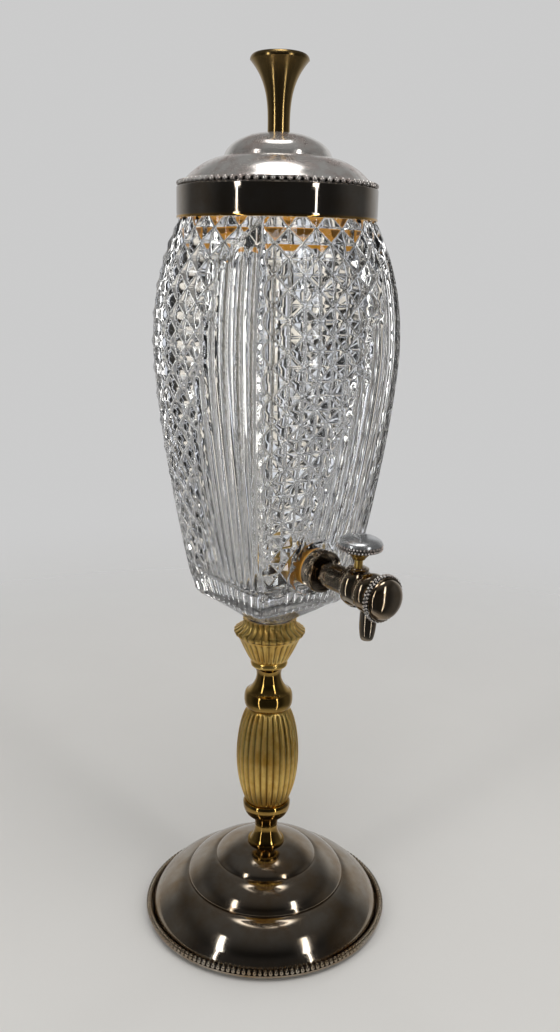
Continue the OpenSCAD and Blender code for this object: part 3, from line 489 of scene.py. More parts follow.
# %% [markdown]
# ## Turning on a lathe
# Nearly every metal piece of the fountain was spun or turned on a lathe. Here it is the same: a circle's
# points are laid on the closed outline of half a section, and Spin takes that outline once round the
# axis. The seam is then merged, the faces are turned outwards, and edges are kept sharp in the shading.

# %% Lathe
MERGE_MM = 0.001
EDGE_ANGLE = math.radians(35)


def face_outwards():
    """Turns all faces of the edited mesh outwards and ends the editing."""
    bpy.ops.mesh.select_all(action="SELECT")
    bpy.ops.mesh.normals_make_consistent(inside=False)
    bpy.ops.object.mode_set(mode="OBJECT")


def turned(name, outline, steps=128):
    """A piece turned from a closed outline of (radius, height) points in millimetres."""
    bpy.ops.object.select_all(action="DESELECT")
    bpy.ops.mesh.primitive_circle_add(vertices=len(outline), radius=MM)
    piece = bpy.context.object
    piece.name = name
    for vertex, (radius, height) in zip(piece.data.vertices, outline):
        vertex.co = (radius * MM, 0, height * MM)
    bpy.ops.object.mode_set(mode="EDIT")
    bpy.ops.mesh.select_all(action="SELECT")
    bpy.ops.mesh.spin(steps=steps, angle=math.tau, center=(0, 0, 0), axis=(0, 0, 1))
    bpy.ops.mesh.select_all(action="SELECT")
    bpy.ops.mesh.remove_doubles(threshold=MERGE_MM * MM)
    bpy.ops.mesh.delete_loose()
    face_outwards()
    bpy.ops.object.shade_smooth_by_angle(angle=EDGE_ANGLE)
    return piece


def arc(count):
    """Shares from nought to one, in count steps."""
    return [i / count for i in range(count + 1)]


def quarter(count):
    """Angles of a quarter turn, in count steps."""
    return [share * math.pi / 2 for share in arc(count)]


def tier(r_out, z_low, r_in, z_high, power, count=28):
    """A bulging tier of sheet, from its outer lower edge to its inner upper edge."""
    points = []
    for angle in quarter(count):
        out = max(0.0, math.cos(angle)) ** power
        points.append((r_in + (r_out - r_in) * out, z_low + (z_high - z_low) * math.sin(angle) ** power))
    return points


def waist(z_low, r_low, z_mid, r_mid, z_high, r_high, count=24):
    """A hollow curve between two ends, narrowest at z_mid."""
    points = []
    for share in arc(count):
        z = z_low + (z_high - z_low) * share
        if z < z_mid:
            points.append((r_mid + (r_low - r_mid) * ((z_mid - z) / (z_mid - z_low)) ** 2, z))
        else:
            points.append((r_mid + (r_high - r_mid) * ((z - z_mid) / (z_high - z_mid)) ** 2, z))
    return points


def swell(z_low, r_low, z_mid, r_mid, z_high, r_high, power=0.5, count=32):
    """A round curve between two ends, widest at z_mid."""
    points = []
    for share in arc(count):
        z = z_low + (z_high - z_low) * (1 - math.cos(math.pi * share)) / 2
        if z < z_mid:
            rise = max(0.0, 1 - ((z_mid - z) / (z_mid - z_low)) ** 2) ** power
            points.append((r_low + (r_mid - r_low) * rise, z))
        else:
            rise = max(0.0, 1 - ((z - z_mid) / (z_high - z_mid)) ** 2) ** power
            points.append((r_high + (r_mid - r_high) * rise, z))
    return points


def rounded(radius, height, half, angles):
    """Points of a round section, at some angles."""
    return [(radius + half * math.cos(angle), height + half * math.sin(angle)) for angle in angles]


def dome(radius, foot, rise, count=20):
    """A round dome, from its edge to its middle."""
    points = [(radius * math.cos(angle), foot + rise * math.sin(angle)) for angle in quarter(count)]
    return points[:-1] + [(0, foot + rise)]


def bored(outline, bore):
    """An outline from bottom to top, closed along a bore."""
    return outline + [(bore, outline[-1][1]), (bore, outline[0][1])]


def fitted(piece, node, finish):
    """Gives a piece its finish, puts it in its node's place and lets it move with that node's body."""
    piece.data.materials.clear()
    piece.data.materials.append(finish)
    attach(piece, frame["nodes"][node]["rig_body"])
    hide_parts(node)
    print(piece.name, "for", node, len(piece.data.polygons), "faces")


def set_in(piece, matrix):
    """Moves a piece's points into a frame, so that its object stays at the origin."""
    piece.data.transform(matrix)
    piece.data.update()
    return piece


ROD_HOLE_R = 3.2
SHEET = 0.9
print("lathe ready")

# %% [markdown]
# ## Base
# The base is one sheet of brass, spun over a former in three swelling tiers and plated. Its inner side is
# the same outline moved in by the sheet's thickness. A string of beads is soldered round the foot: one
# bead is modelled from a small sphere, and Spin copies it round a wire.

# %% Base dome
DOME_Z = 2.5
LOW_CREASE_Z = 19.5
LOW_CREASE_R = 39.0
HIGH_CREASE_Z = 29.0
HIGH_CREASE_R = 25.2
DOME_TOP = 36.0
FLANGE_R = 57.8
DOME_R = 55.55
DOME_SEAT_R = 9.6
TIER_BULGE = 1.3
SPUN_STEPS = 160
dome_line = (
    tier(DOME_R, DOME_Z + SHEET, LOW_CREASE_R, LOW_CREASE_Z, TIER_BULGE)
    + tier(LOW_CREASE_R - SHEET, LOW_CREASE_Z, HIGH_CREASE_R, HIGH_CREASE_Z, TIER_BULGE)
    + tier(HIGH_CREASE_R - SHEET, HIGH_CREASE_Z, DOME_SEAT_R, DOME_TOP, TIER_BULGE)
)
dome_inside = [(r - SHEET, z - SHEET) for r, z in reversed(dome_line)]
base_dome = turned(
    "base_dome_spun",
    [(FLANGE_R, DOME_Z), (FLANGE_R, DOME_Z + SHEET)]
    + dome_line
    + [(ROD_HOLE_R, DOME_TOP), (ROD_HOLE_R, DOME_TOP - SHEET)]
    + dome_inside,
    steps=SPUN_STEPS,
)
fitted(base_dome, "base_dome", nickel)

# %% Bead rings
def bead_ring(name, rows, count, bead_mm, wire):
    """Rows of beads at (radius, height), each bead (out, along, tall) in size, on a turned wire.

    The wire between the beads is marked as a groove, where the finish paints shade into the gaps, and each
    further row is set off by half a bead.
    """
    ring = turned(name, wire, steps=96)
    mark = ring.data.attributes.new("groove", "FLOAT", "POINT")
    mark.data.foreach_set("value", np.ones(len(ring.data.vertices)))
    once_round = math.tau * (count - 1) / count
    for index, (radius, height) in enumerate(rows):
        bpy.ops.object.select_all(action="DESELECT")
        bpy.ops.mesh.primitive_uv_sphere_add(segments=8, ring_count=6, radius=MM / 2)
        beads = bpy.context.object
        bpy.ops.object.mode_set(mode="EDIT")
        bpy.ops.mesh.select_all(action="SELECT")
        bpy.ops.transform.resize(value=bead_mm)
        bpy.ops.transform.translate(value=(radius * MM, 0, height * MM))
        bpy.ops.mesh.spin(steps=count - 1, dupli=True, angle=once_round, center=(0, 0, 0), axis=(0, 0, 1))
        bpy.ops.object.mode_set(mode="OBJECT")
        bpy.ops.object.shade_smooth()
        beads.data.transform(Matrix.Rotation(index * math.pi / count, 4, "Z"))
        ring.select_set(True)
        bpy.context.view_layer.objects.active = ring
        bpy.ops.object.join()
    return ring


WIRE_ANGLES = [math.tau * i / 12 for i in range(12)]
BASE_BEADS = 150
BASE_BEAD_MM = (3.0, 2.25, 2.8)
BASE_RING_R = 57.2
BASE_RING_Z = 4.8
base_wire = rounded(BASE_RING_R - 0.3, BASE_RING_Z - 0.5, 0.7, WIRE_ANGLES)
base_beads = bead_ring("base_rim_beads", [(BASE_RING_R, BASE_RING_Z)], BASE_BEADS, BASE_BEAD_MM, base_wire)
fitted(base_beads, "base_bead_ring", nickel)

# %% [markdown]
# ## Stem
# The stem is a stack of turned brass pieces on one rod. The knops are plain curves, so they only need the
# lathe. The baluster, the bowl and the crown are cast with reeds: they are turned first, and then their
# outer points are moved towards the axis by a formula that repeats round the piece. How deep a point went
# is kept as an attribute, and the finish paints shade into the grooves by it.

# %% Knops
FOOT_TOP = 50.0
KNOP_TOP = 58.6
BALUSTER_TOP = 106.9
RING_TOP = 115.2
NECK_TOP = 128.0
COLLAR_TOP = 131.0
foot_line = [(8.6, DOME_TOP), (8.9, 36.5), (8.7, 37.1)] + waist(37.3, 7.8, 44.68, 5.4, FOOT_TOP, 6.6)
lower_line = swell(FOOT_TOP, 6.6, 56.88, 11.4, KNOP_TOP, 10.4)
upper_line = (
    swell(BALUSTER_TOP, 9.6, 111.46, 11.5, RING_TOP, 10.4)
    + waist(RING_TOP, 10.0, 123.52, 5.8, NECK_TOP, 7.4)[1:]
)
ring_line = swell(NECK_TOP, 8.0, 129.65, 8.7, COLLAR_TOP, 8.0, count=12)
for node, line, finish in (
    ("stem_foot", foot_line, dark_brass),
    ("lower_knop", lower_line, dark_brass),
    ("upper_knop", upper_line, dark_brass),
    ("stem_collar", ring_line, gilt),
):
    fitted(turned(node + "_turned", bored(line, ROD_HOLE_R)), node, finish)

# %% Reeds
REEDS = 28
REED_STEPS = REEDS * 10
REED_ROUNDNESS = 0.96


def smooth(x):
    """A soft step from nought to one."""
    x = np.clip(x, 0, 1)
    return x * x * (3 - 2 * x)


def reeded(piece, depth, low, high, fade, bore):
    """Presses reeds into a turned piece between two heights and marks the grooves.

    The reeds fade out over fade = (below, above), and points within the bore stay. The finish paints shade
    into the marked grooves.
    """
    mesh = piece.data
    points = np.empty(len(mesh.vertices) * 3)
    mesh.vertices.foreach_get("co", points)
    points = points.reshape(-1, 3) / MM
    radius = np.hypot(points[:, 0], points[:, 1])
    across = 2 * ((np.arctan2(points[:, 1], points[:, 0]) * REEDS / math.tau + 1e-6) % 1) - 1
    shape = 1 - np.sqrt(np.clip(1 - REED_ROUNDNESS * across ** 2, 0, 1))
    height = points[:, 2]
    ends = smooth((height - low) / fade[0]) * smooth((high - height) / fade[1])
    sunk = shape * ends * (radius > bore)
    points[:, :2] *= (1 - depth * sunk / np.maximum(radius, 1))[:, None]
    mesh.vertices.foreach_set("co", (points * MM).ravel())
    mark = mesh.attributes.new("groove", "FLOAT", "POINT")
    mark.data.foreach_set("value", np.clip(sunk, 0, 1))
    mesh.update()


baluster_line = swell(KNOP_TOP, 9.6, 83.23, 14.9, BALUSTER_TOP, 9.6, power=0.75, count=64)
baluster = turned("baluster_reeded", bored(baluster_line, ROD_HOLE_R), steps=REED_STEPS)
reeded(baluster, depth=1.5, low=58.9, high=106.6, fade=(1.6, 1.6), bore=6)
fitted(baluster, "baluster", gilt)

BOWL_TOP = 143.0
BOWL_FOOT_R = 8.7
BOWL_FLARE = 6.1
bowl_line = [
    (BOWL_FOOT_R + BOWL_FLARE * share ** 0.85, COLLAR_TOP + (BOWL_TOP - COLLAR_TOP) * share)
    for share in arc(30)
]
cup_bowl = turned("cup_bowl_gadrooned", bored(bowl_line, ROD_HOLE_R), steps=REED_STEPS)
reeded(cup_bowl, depth=0.9, low=131.2, high=142.8, fade=(2.0, 2.0), bore=6)
fitted(cup_bowl, "cup_bowl", gilt)

CROWN_TOP = 151.6
CROWN_FLOOR = 145.5
CROWN_BORE_R = 10.8
CROWN_HOLE_R = 3.1
crown_line = (
    [(BOWL_FOOT_R + BOWL_FLARE, BOWL_TOP), (15.6, 143.4), (16.3, 144.2), (16.6, 145.1)]
    + waist(145.84, 16.6, 150.2, 12.3, CROWN_TOP, 12.6, count=40)
    + [(CROWN_BORE_R, CROWN_TOP), (CROWN_BORE_R, CROWN_FLOOR)]
    + [(CROWN_HOLE_R, CROWN_FLOOR), (CROWN_HOLE_R, BOWL_TOP)]
)
cup_crown = turned("cup_crown_fluted", crown_line, steps=REED_STEPS)
reeded(cup_crown, depth=1.2, low=142.4, high=153.4, fade=(1.2, 1.6), bore=12)
fitted(cup_crown, "cup_crown", gilt)

# %% [markdown]
# ## Glass vessel
# The vessel was pressed in a mould: four faces that are square in section below and round at the neck,
# and on each face a panel of diamonds at the left and upright flutes at the right, parted by a slanting
# line. A grid is wrapped round the axis and along the whole section, outside and inside, and every point
# is placed by formula, because the pattern has to follow the swelling faces exactly.

# %% Section of the glass
SOLE_Z = 161.0
BELLY_Z = 275.0
SHOULDER_Z = 328.0
SHOULDER_POWER = 2.3
SOLE_ROUND = 4.5
SOLE_TOP = SOLE_Z + SOLE_ROUND
SOLE_SHARE = 0.9
STUB = [(0, 146.5), (9.8, 146.5), (10.2, 146.9), (10.2, 151.4)]
SPREAD_R = 10.6
SPREAD_Z = 151.9
NECK = [(40.2, 328.0), (40.2, 338.8), (39.7, 339.3), (37.7, 339.3), (37.2, 338.8), (37.2, 328.0)]
WALL = 5.0
INSIDE_TOP = 326.0
FLOOR_Z = 172.0
FLOOR_ROUND = 6.0
FLOOR_EDGE = FLOOR_Z + FLOOR_ROUND


def side_r(z, belly_r, shoulder_drop, sole_drop, sole_power):
    """A radius that is largest at the belly and drops towards the shoulder and the sole."""
    if z > BELLY_Z:
        return belly_r - shoulder_drop * ((z - BELLY_Z) / (SHOULDER_Z - BELLY_Z)) ** SHOULDER_POWER
    return belly_r - sole_drop * ((BELLY_Z - z) / (BELLY_Z - SOLE_Z)) ** sole_power


def corner_r(z):
    """Radius over the corners at a height."""
    return side_r(z, belly_r=53.9, shoulder_drop=12.2, sole_drop=18.7, sole_power=1.45)


def flat_r(z):
    """Distance from the axis to the middle of a face at a height."""
    return side_r(z, belly_r=47.3, shoulder_drop=5.3, sole_drop=22.5, sole_power=1.35)


FLUTES = 12
FINE = 7
HALF_ROW = 5.85
NODE_Z = 277.34
ROW = HALF_ROW / FINE
LEAST_ROW = 0.3

# Each row is (height, face distance, corner radius, share of the pattern, 1 on the outer wall or else 0).
rows = [(z, radius, radius, 0, 1) for radius, z in STUB]
edge_flat = flat_r(SOLE_TOP) - SOLE_ROUND
edge_corner = corner_r(SOLE_TOP) - SOLE_ROUND
for share in arc(8):
    rows.append((
        SPREAD_Z + (SOLE_Z - SPREAD_Z) * share,
        SPREAD_R + (edge_flat - SPREAD_R) * share,
        SPREAD_R + (edge_corner - SPREAD_R) * share,
        SOLE_SHARE * share,
        1,
    ))
for share in arc(7)[1:-1]:
    angle = share * math.pi / 2
    lift = SOLE_ROUND * math.sin(angle)
    rows.append((
        SOLE_Z + SOLE_ROUND * (1 - math.cos(angle)),
        edge_flat + lift,
        edge_corner + lift,
        SOLE_SHARE + (1 - SOLE_SHARE) * share,
        1,
    ))
# The rows of the wall lie on the lattice of the diamonds, so that every groove runs through their points.
first = math.ceil((SOLE_TOP - NODE_Z) / ROW + LEAST_ROW)
last = math.floor((SHOULDER_Z - NODE_Z) / ROW - LEAST_ROW)
heights = [SOLE_TOP] + [NODE_Z + ROW * k for k in range(first, last + 1)] + [SHOULDER_Z]
rows += [(z, flat_r(z), corner_r(z), 1, 1) for z in heights]
rows += [(z, radius, radius, 0, 0) for radius, z in NECK]
for share in arc(36):
    z = INSIDE_TOP - (INSIDE_TOP - FLOOR_EDGE) * share
    rows.append((z, flat_r(z) - WALL, corner_r(z) - WALL, 0, 0))
low_flat = flat_r(FLOOR_EDGE) - WALL
low_corner = corner_r(FLOOR_EDGE) - WALL
for angle in quarter(5)[1:]:
    drop = FLOOR_ROUND * math.sin(angle)
    pull = FLOOR_ROUND * (1 - math.cos(angle))
    rows.append((FLOOR_EDGE - drop, low_flat - pull, low_corner - pull, 0, 0))
for share in (0.7, 0.4, 0.0):
    rows.append((FLOOR_Z, (low_flat - FLOOR_ROUND) * share, (low_corner - FLOOR_ROUND) * share, 0, 0))
print("rows of glass", len(rows))

# %% Pattern of the glass
LEFT_Z = 200.0
LEFT_SHARE = 0.375
LEAN = 0.0037
ARCH_TOP = 317.0
ARCH_RISE = 5.0
ARCH_FADE = 3.0
BAND_TOP = 171.5
BAND_RISE = 2.0
BAND_FADE = 2.0
FLUTE_DEPTH = 0.17
LEAST_CORNER = 12
DIAMOND_DEPTH = 1.5
DIAMOND_FADE = 2.5
EDGE_FADE = 0.35
WEDGE = 2.2
WEDGE_FADE = 0.4


def pattern_depth(u, z, corner):
    """How deep the mould's pattern goes: u counts flutes from a face's left edge, and z is the height."""
    column = np.minimum(np.floor(u), FLUTES - 1)
    across = 2 * (u - column) - 1
    hollow = FLUTE_DEPTH * np.maximum(corner, LEAST_CORNER) * math.sqrt(2) / FLUTES * (1 - across ** 2)
    slant = LEFT_Z + ((column + 0.5) / FLUTES - LEFT_SHARE) / LEAN
    arch = np.minimum(slant, ARCH_TOP) - ARCH_RISE * across ** 2
    next_arch = np.minimum(slant + 1 / (FLUTES * LEAN), ARCH_TOP)
    flutes = hollow * smooth((arch - z) / ARCH_FADE)
    v = (z - NODE_Z) / HALF_ROW
    p = np.abs(2 * (((u + v) / 2) % 1) - 1)
    q = np.abs(2 * (((u - v) / 2) % 1) - 1)
    cells = np.maximum(p, q)
    edge = np.where(z < next_arch, smooth((column + 1 - u) / EDGE_FADE), 1.0)
    edge = edge * smooth((z - arch) / DIAMOND_FADE) * smooth((z - BAND_TOP) / BAND_FADE)
    edge = edge * smooth(u / EDGE_FADE) * smooth((FLUTES - u) / EDGE_FADE)
    wedge = WEDGE * np.clip((SHOULDER_Z - z) / (SHOULDER_Z - ARCH_TOP), 0, 1)
    beside_wedge = smooth((FLUTES - u - wedge) / WEDGE_FADE + 0.5)
    edge = edge * np.where(z > ARCH_TOP - ARCH_RISE, beside_wedge, 1.0)
    band = hollow * smooth((BAND_TOP - BAND_RISE * across ** 2 - z) / BAND_FADE)
    return np.maximum(np.maximum(flutes, band), DIAMOND_DEPTH * cells * edge)


# The columns are spaced halfway between equal angles and equal widths on a flat face.
face_share = np.linspace(0, 1, FLUTES * FINE + 1)
slopes = np.linspace(-math.pi / 4, math.pi / 4, 801)
face_angle = np.interp(face_share, 0.5 + 0.25 * np.tan(slopes) + slopes / math.pi, slopes)
around = np.concatenate([face_angle[:-1] + side * math.pi / 2 for side in range(4)] + [face_angle[:1]])
around = around - math.pi / 2
within = np.concatenate([face_angle[:-1]] * 4 + [face_angle[:1]])
flute_count = np.concatenate([face_share[:-1] * FLUTES] * 4 + [face_share[:1] * FLUTES])
print("points round the glass", len(around) - 1)

# %% Wrap the grid
TAP_Z = 184.8
DROOP = math.asin(joint_axis["button_press"].y)
tap_frame = Matrix.Translation((0, 0, TAP_Z * MM)) @ Matrix.Rotation(DROOP, 4, "X")
MOST_SQUARE = 1.36
LEAST_SQUARE = 0.98
SEAT_S = 31.4
SEAT_R = 13.0
INNER_SEAT_S = 24.6
INNER_SEAT_R = 9.5
SEAT_FADE = 1.6

bpy.ops.object.select_all(action="DESELECT")
bpy.ops.mesh.primitive_grid_add(x_subdivisions=len(around) - 1, y_subdivisions=len(rows) - 1, size=2)
vessel = bpy.context.object
vessel.name = "vessel_pressed_glass"
grid = np.empty(len(vessel.data.vertices) * 3)
vessel.data.vertices.foreach_get("co", grid)
grid = grid.reshape(-1, 3)
col = np.rint((grid[:, 0] + 1) / 2 * (len(around) - 1)).astype(int)
row = np.rint((grid[:, 1] + 1) / 2 * (len(rows) - 1)).astype(int)
z, flat, corner, pattern_share, on_outside = np.array(rows, dtype=float)[row].T
# A section is a rounded square: its power goes from a circle to nearly a square with the corners' reach.
square = np.clip(corner / np.maximum(flat, 0.001), LEAST_SQUARE, MOST_SQUARE)
power = 1 / (0.5 - np.log2(square))
slope = np.maximum(np.abs(np.cos(within[col])), 1e-9) ** power + np.abs(np.sin(within[col])) ** power
radius = flat / slope ** (1 / power)
radius = radius - pattern_share * pattern_depth(flute_count[col], z, corner)
points = np.stack([radius * np.cos(around[col]), radius * np.sin(around[col]), z], axis=1)

# The tap needs a flat seat on both sides of the wall, square to its slanting axis.
tap_turn = np.array(tap_frame.to_3x3())
local = (points - [0, 0, TAP_Z]) @ tap_turn
off_axis = np.hypot(local[:, 0], local[:, 2])
on_wall = (local[:, 1] < 0) & (z > SOLE_TOP) & (z < SHOULDER_Z)
for seat_s, seat_r, side in ((SEAT_S, SEAT_R, on_outside > 0), (INNER_SEAT_S, INNER_SEAT_R, on_outside < 1)):
    keep = smooth((off_axis - seat_r + SEAT_FADE / 2) / SEAT_FADE)
    local[:, 1] = np.where(on_wall & side, keep * local[:, 1] - (1 - keep) * seat_s, local[:, 1])
points = local @ tap_turn.T + [0, 0, TAP_Z]
vessel.data.vertices.foreach_set("co", (points * MM).ravel())
vessel.data.update()
print("grid", len(points), "points")

# %% Split the squares
# Each small square is split along the groove that crosses its block of the lattice.
first_corner = np.empty(len(vessel.data.polygons), dtype=int)
vessel.data.polygons.foreach_get("loop_start", first_corner)
corner_point = np.empty(len(vessel.data.loops), dtype=int)
vessel.data.loops.foreach_get("vertex_index", corner_point)
corners = corner_point[first_corner[:, None] + np.arange(4)]
block_u = np.floor(flute_count[col[corners].min(axis=1)] + 1e-6)
block_v = np.floor((z[corners].min(axis=1) - NODE_Z) / HALF_ROW + 1e-6)
even_block = (block_u + block_v) % 2 == 0
bpy.ops.object.mode_set(mode="EDIT")
bpy.ops.mesh.select_mode(type="FACE")
bpy.ops.mesh.select_all(action="DESELECT")
bpy.ops.object.mode_set(mode="OBJECT")
vessel.data.polygons.foreach_set("select", even_block)
bpy.ops.object.mode_set(mode="EDIT")
bpy.ops.mesh.quads_convert_to_tris(quad_method="FIXED", ngon_method="BEAUTY")
bpy.ops.mesh.select_all(action="SELECT")
bpy.ops.mesh.quads_convert_to_tris(quad_method="FIXED_ALTERNATE", ngon_method="BEAUTY")
bpy.ops.mesh.select_mode(type="VERT")
bpy.ops.mesh.select_all(action="SELECT")
bpy.ops.mesh.remove_doubles(threshold=2 * MERGE_MM * MM)
face_outwards()
print("glass", len(vessel.data.polygons), "faces")

# %% Hole for the tap
HOLE_R = 5.5
GLASS_EDGE_ANGLE = math.radians(45)
along_tap = tap_frame @ Matrix.Rotation(math.pi / 2, 4, "X")


def cut_by(piece, cutter):
    """Cuts one solid out of another and throws the cutter away."""
    bpy.ops.object.select_all(action="DESELECT")
    hole = piece.modifiers.new("hole", "BOOLEAN")
    hole.object = cutter
    hole.operation = "DIFFERENCE"
    hole.solver = "EXACT"
    bpy.context.view_layer.objects.active = piece
    bpy.ops.object.modifier_apply(modifier="hole")
    bpy.data.objects.remove(cutter)


drill = turned("drill", [(0, 20), (HOLE_R, 20), (HOLE_R, 40), (0, 40)], steps=48)
cut_by(vessel, set_in(drill, along_tap))
vessel.select_set(True)
bpy.ops.object.shade_smooth_by_angle(angle=GLASS_EDGE_ANGLE)
fitted(vessel, "glass_vessel", crystal)

# %% [markdown]
# ## Collar and lid
# A band of silver plate is bedded on the neck, with a rolled edge below and a lip above that the lid rests
# on. The lid is spun like the base, in two tiers, with a coarser string of beads, and a trumpet of bronze
# stands on it as a handle.

# %% Collar
collar_line = [
    (41.15, 328.0), (41.7, 328.0), (42.1, 328.15), (42.3, 328.5), (42.3, 328.9), (42.1, 329.3),
    (42.12, 329.7), (42.2, 330.2), (42.2, 339.9), (42.15, 340.5), (41.8, 340.9), (36.7, 340.9),
    (36.7, 339.9), (41.15, 339.9),
]
collar = turned("neck_collar_band", collar_line, steps=192)
fitted(collar, "neck_collar", mirror_silver)

# %% Lid
LID_Z = 341.0
LID_FOOT_R = 39.55
LID_FLARE = [(39.9, 343.0), (39.2, 343.4), (38.6, 344.0)]
LID_FLARE_TOP = 344.8
LID_CREASE_Z = 352.8
LID_CREASE_R = 23.4
LID_TOP = 362.6
LID_SEAT_R = 5.4
LID_BULGE = 1.4
LID_CAP_BULGE = 1.1
STUD_HOLE_R = 2.1
lid_low_tier = tier(LID_FOOT_R, LID_Z + SHEET, LID_CREASE_R, LID_CREASE_Z, LID_BULGE)
lid_line = (
    [(LID_FOOT_R, LID_Z + SHEET)]
    + LID_FLARE
    + [(r, z) for r, z in lid_low_tier if z > LID_FLARE_TOP]
    + tier(LID_CREASE_R - SHEET, LID_CREASE_Z, LID_SEAT_R, LID_TOP, LID_CAP_BULGE)
)
lid_inside = [(r - SHEET, z - SHEET) for r, z in reversed(lid_line)]
stud_hole = [(STUD_HOLE_R, LID_TOP), (STUD_HOLE_R, LID_TOP - SHEET)]
lid = turned("lid_dome_spun", [(LID_FOOT_R, LID_Z)] + lid_line + stud_hole + lid_inside, steps=SPUN_STEPS)
fitted(lid, "lid_dome", silver)

LID_BEADS = 80
LID_BEAD_MM = (2.6, 2.35, 2.25)
LID_RING_R = 40.95
LID_RING_Z = 342.15
lid_wire = rounded(LID_RING_R - 0.5, LID_RING_Z - 0.15, 0.6, WIRE_ANGLES)
lid_beads = bead_ring("lid_rim_beads", [(LID_RING_R, LID_RING_Z)], LID_BEADS, LID_BEAD_MM, lid_wire)
fitted(lid_beads, "lid_bead_ring", silver)

# %% Finial
LIP_Z = 390.6
LIP_R = 12.2
LIP_ROUND = 2.4
FINIAL_NECK_R = 4.6
FLARE_POWER = 3.3
STUD_TOP = 372.6
flare = [
    (FINIAL_NECK_R + (LIP_R - FINIAL_NECK_R) * share ** FLARE_POWER, LID_TOP + (LIP_Z - LID_TOP) * share)
    for share in arc(48)
]
lip = rounded(LIP_R - LIP_ROUND, LIP_Z, LIP_ROUND, quarter(8)[1:])
dish = [(8.6, 392.7), (7.4, 392.2), (4.0, 391.5), (0, 391.3)]
stud_bore = [(0, STUD_TOP), (STUD_HOLE_R, STUD_TOP), (STUD_HOLE_R, LID_TOP)]
finial = turned("trumpet_finial", flare + lip + dish + stud_bore)
fitted(finial, "lid_finial", satin_bronze)

# %% [markdown]
# ## Tap
# The tap lies along its own axis, which droops a little. Its pieces are turned upright at the origin, with
# their height as the distance along that axis, and their points are then moved into the tap's frame. The
# body's water ways are cut with turned cutters, so that the valve really has room to move.

# %% Flange and body
VALVE_S = 57.9
SPOUT_S = 66.1
RING_R = 8.4
RING_HALF = 4.1
RIBS = 9
RIB_START = 43.8
RIB_PITCH = 1.1
CHAMBER_R = 3.5
GLAND_Z = 7.6
WAY_R = 1.7
OUTLET_Z = 3.4
SPOUT_SEAT_Z = -5.2
flange = turned("tap_flange_dished", [
    (5.1, 32.4), (8.7, 32.4), (9.2, 32.6), (9.3, 33.1), (9.3, 37.3), (9.1, 37.85), (8.6, 38.0), (8.1, 37.8),
    (7.9, 37.2), (7.9, 36.4), (7.5, 36.2), (7.4, 35.3), (7.0, 35.1), (6.9, 34.3), (6.4, 34.1), (6.3, 33.6),
    (5.1, 33.6),
], steps=96)
fitted(set_in(flange, along_tap), "tap_flange", nickel)


def upright(s):
    """The frame that stands on the tap's axis at a distance from the vessel's axis."""
    return tap_frame @ Matrix.Translation((0, -s * MM, 0))


shank = [(0, 16.6), (5.0, 16.6), (5.0, 33.6), (5.8, 33.6), (5.8, 43.0), (5.5, 43.4)]
for index in range(RIBS):
    s = RIB_START + index * RIB_PITCH
    shank += [(5.75, s), (5.75, s + 0.6), (5.5, s + 0.8)]
ring_angles = [math.radians(degrees) for degrees in range(-60, 61, 8)]
body_line = shank + [(6.3, 53.9)]
for middle in (VALVE_S, SPOUT_S):
    body_line += rounded(RING_R - RING_HALF, middle, RING_HALF, ring_angles)
body_line += [(6.4, 70.2), (6.4, 70.4), (6.0, 70.4), (6.0, 74.4), (0, 74.4)]
tap_body = set_in(turned("tap_body_turned", body_line, steps=96), along_tap)

valve_cutter = turned("valve_cutter", [
    (0, -17), (CHAMBER_R, -17), (CHAMBER_R, 1.8), (2.7, 1.8), (2.7, 5.0), (CHAMBER_R, 5.0),
    (CHAMBER_R, GLAND_Z), (5.0, GLAND_Z), (5.0, 17), (0, 17),
], steps=48)
cut_by(tap_body, set_in(valve_cutter, upright(VALVE_S)))
spout_cutter = turned("spout_cutter", [
    (0, -17), (3.65, -17), (3.65, SPOUT_SEAT_Z), (WAY_R, SPOUT_SEAT_Z), (WAY_R, OUTLET_Z), (0, OUTLET_Z),
], steps=48)
cut_by(tap_body, set_in(spout_cutter, upright(SPOUT_S)))
inlet = turned("inlet_cutter", [(0, 15), (2.2, 15), (2.2, VALVE_S), (0, VALVE_S)], steps=32)
cut_by(tap_body, set_in(inlet, along_tap))
outlet = turned("outlet_cutter", [(0, VALVE_S), (1.5, VALVE_S), (1.5, SPOUT_S), (0, SPOUT_S)], steps=32)
raised_tap = tap_frame @ Matrix.Translation((0, 0, OUTLET_Z * MM)) @ Matrix.Rotation(math.pi / 2, 4, "X")
cut_by(tap_body, set_in(outlet, raised_tap))
bpy.ops.object.select_all(action="DESELECT")
tap_body.select_set(True)
bpy.ops.object.shade_smooth_by_angle(angle=math.radians(30))
fitted(tap_body, "tap_body", nickel)

# %% Spout and gland
SPOUT_R = 3.6
SPOUT_MOUTH_R = 2.2
NOSE_Z = -11.4
SPOUT_END = -20.4
spout_line = [(WAY_R, SPOUT_SEAT_Z), (SPOUT_R, SPOUT_SEAT_Z)]
for angle in quarter(14):
    radius = SPOUT_MOUTH_R + (SPOUT_R - SPOUT_MOUTH_R) * math.cos(angle)
    spout_line.append((radius, NOSE_Z + (SPOUT_END - NOSE_Z) * math.sin(angle)))
spout_line += [(1.9, SPOUT_END), (WAY_R, SPOUT_END + 0.25)]
spout = turned("spout_turned", spout_line, steps=64)
fitted(set_in(spout, upright(SPOUT_S)), "spout", nickel)
gland = turned("gland_nut_turned", [
    (1.8, 6.3), (3.45, 6.3), (3.45, GLAND_Z), (4.5, GLAND_Z), (4.7, 7.8), (4.7, 8.1), (4.4, 8.3), (3.6, 8.45),
    (3.5, 8.7), (3.2, 8.9), (1.8, 8.9),
], steps=64)
fitted(set_in(gland, upright(VALVE_S)), "gland_nut", nickel)

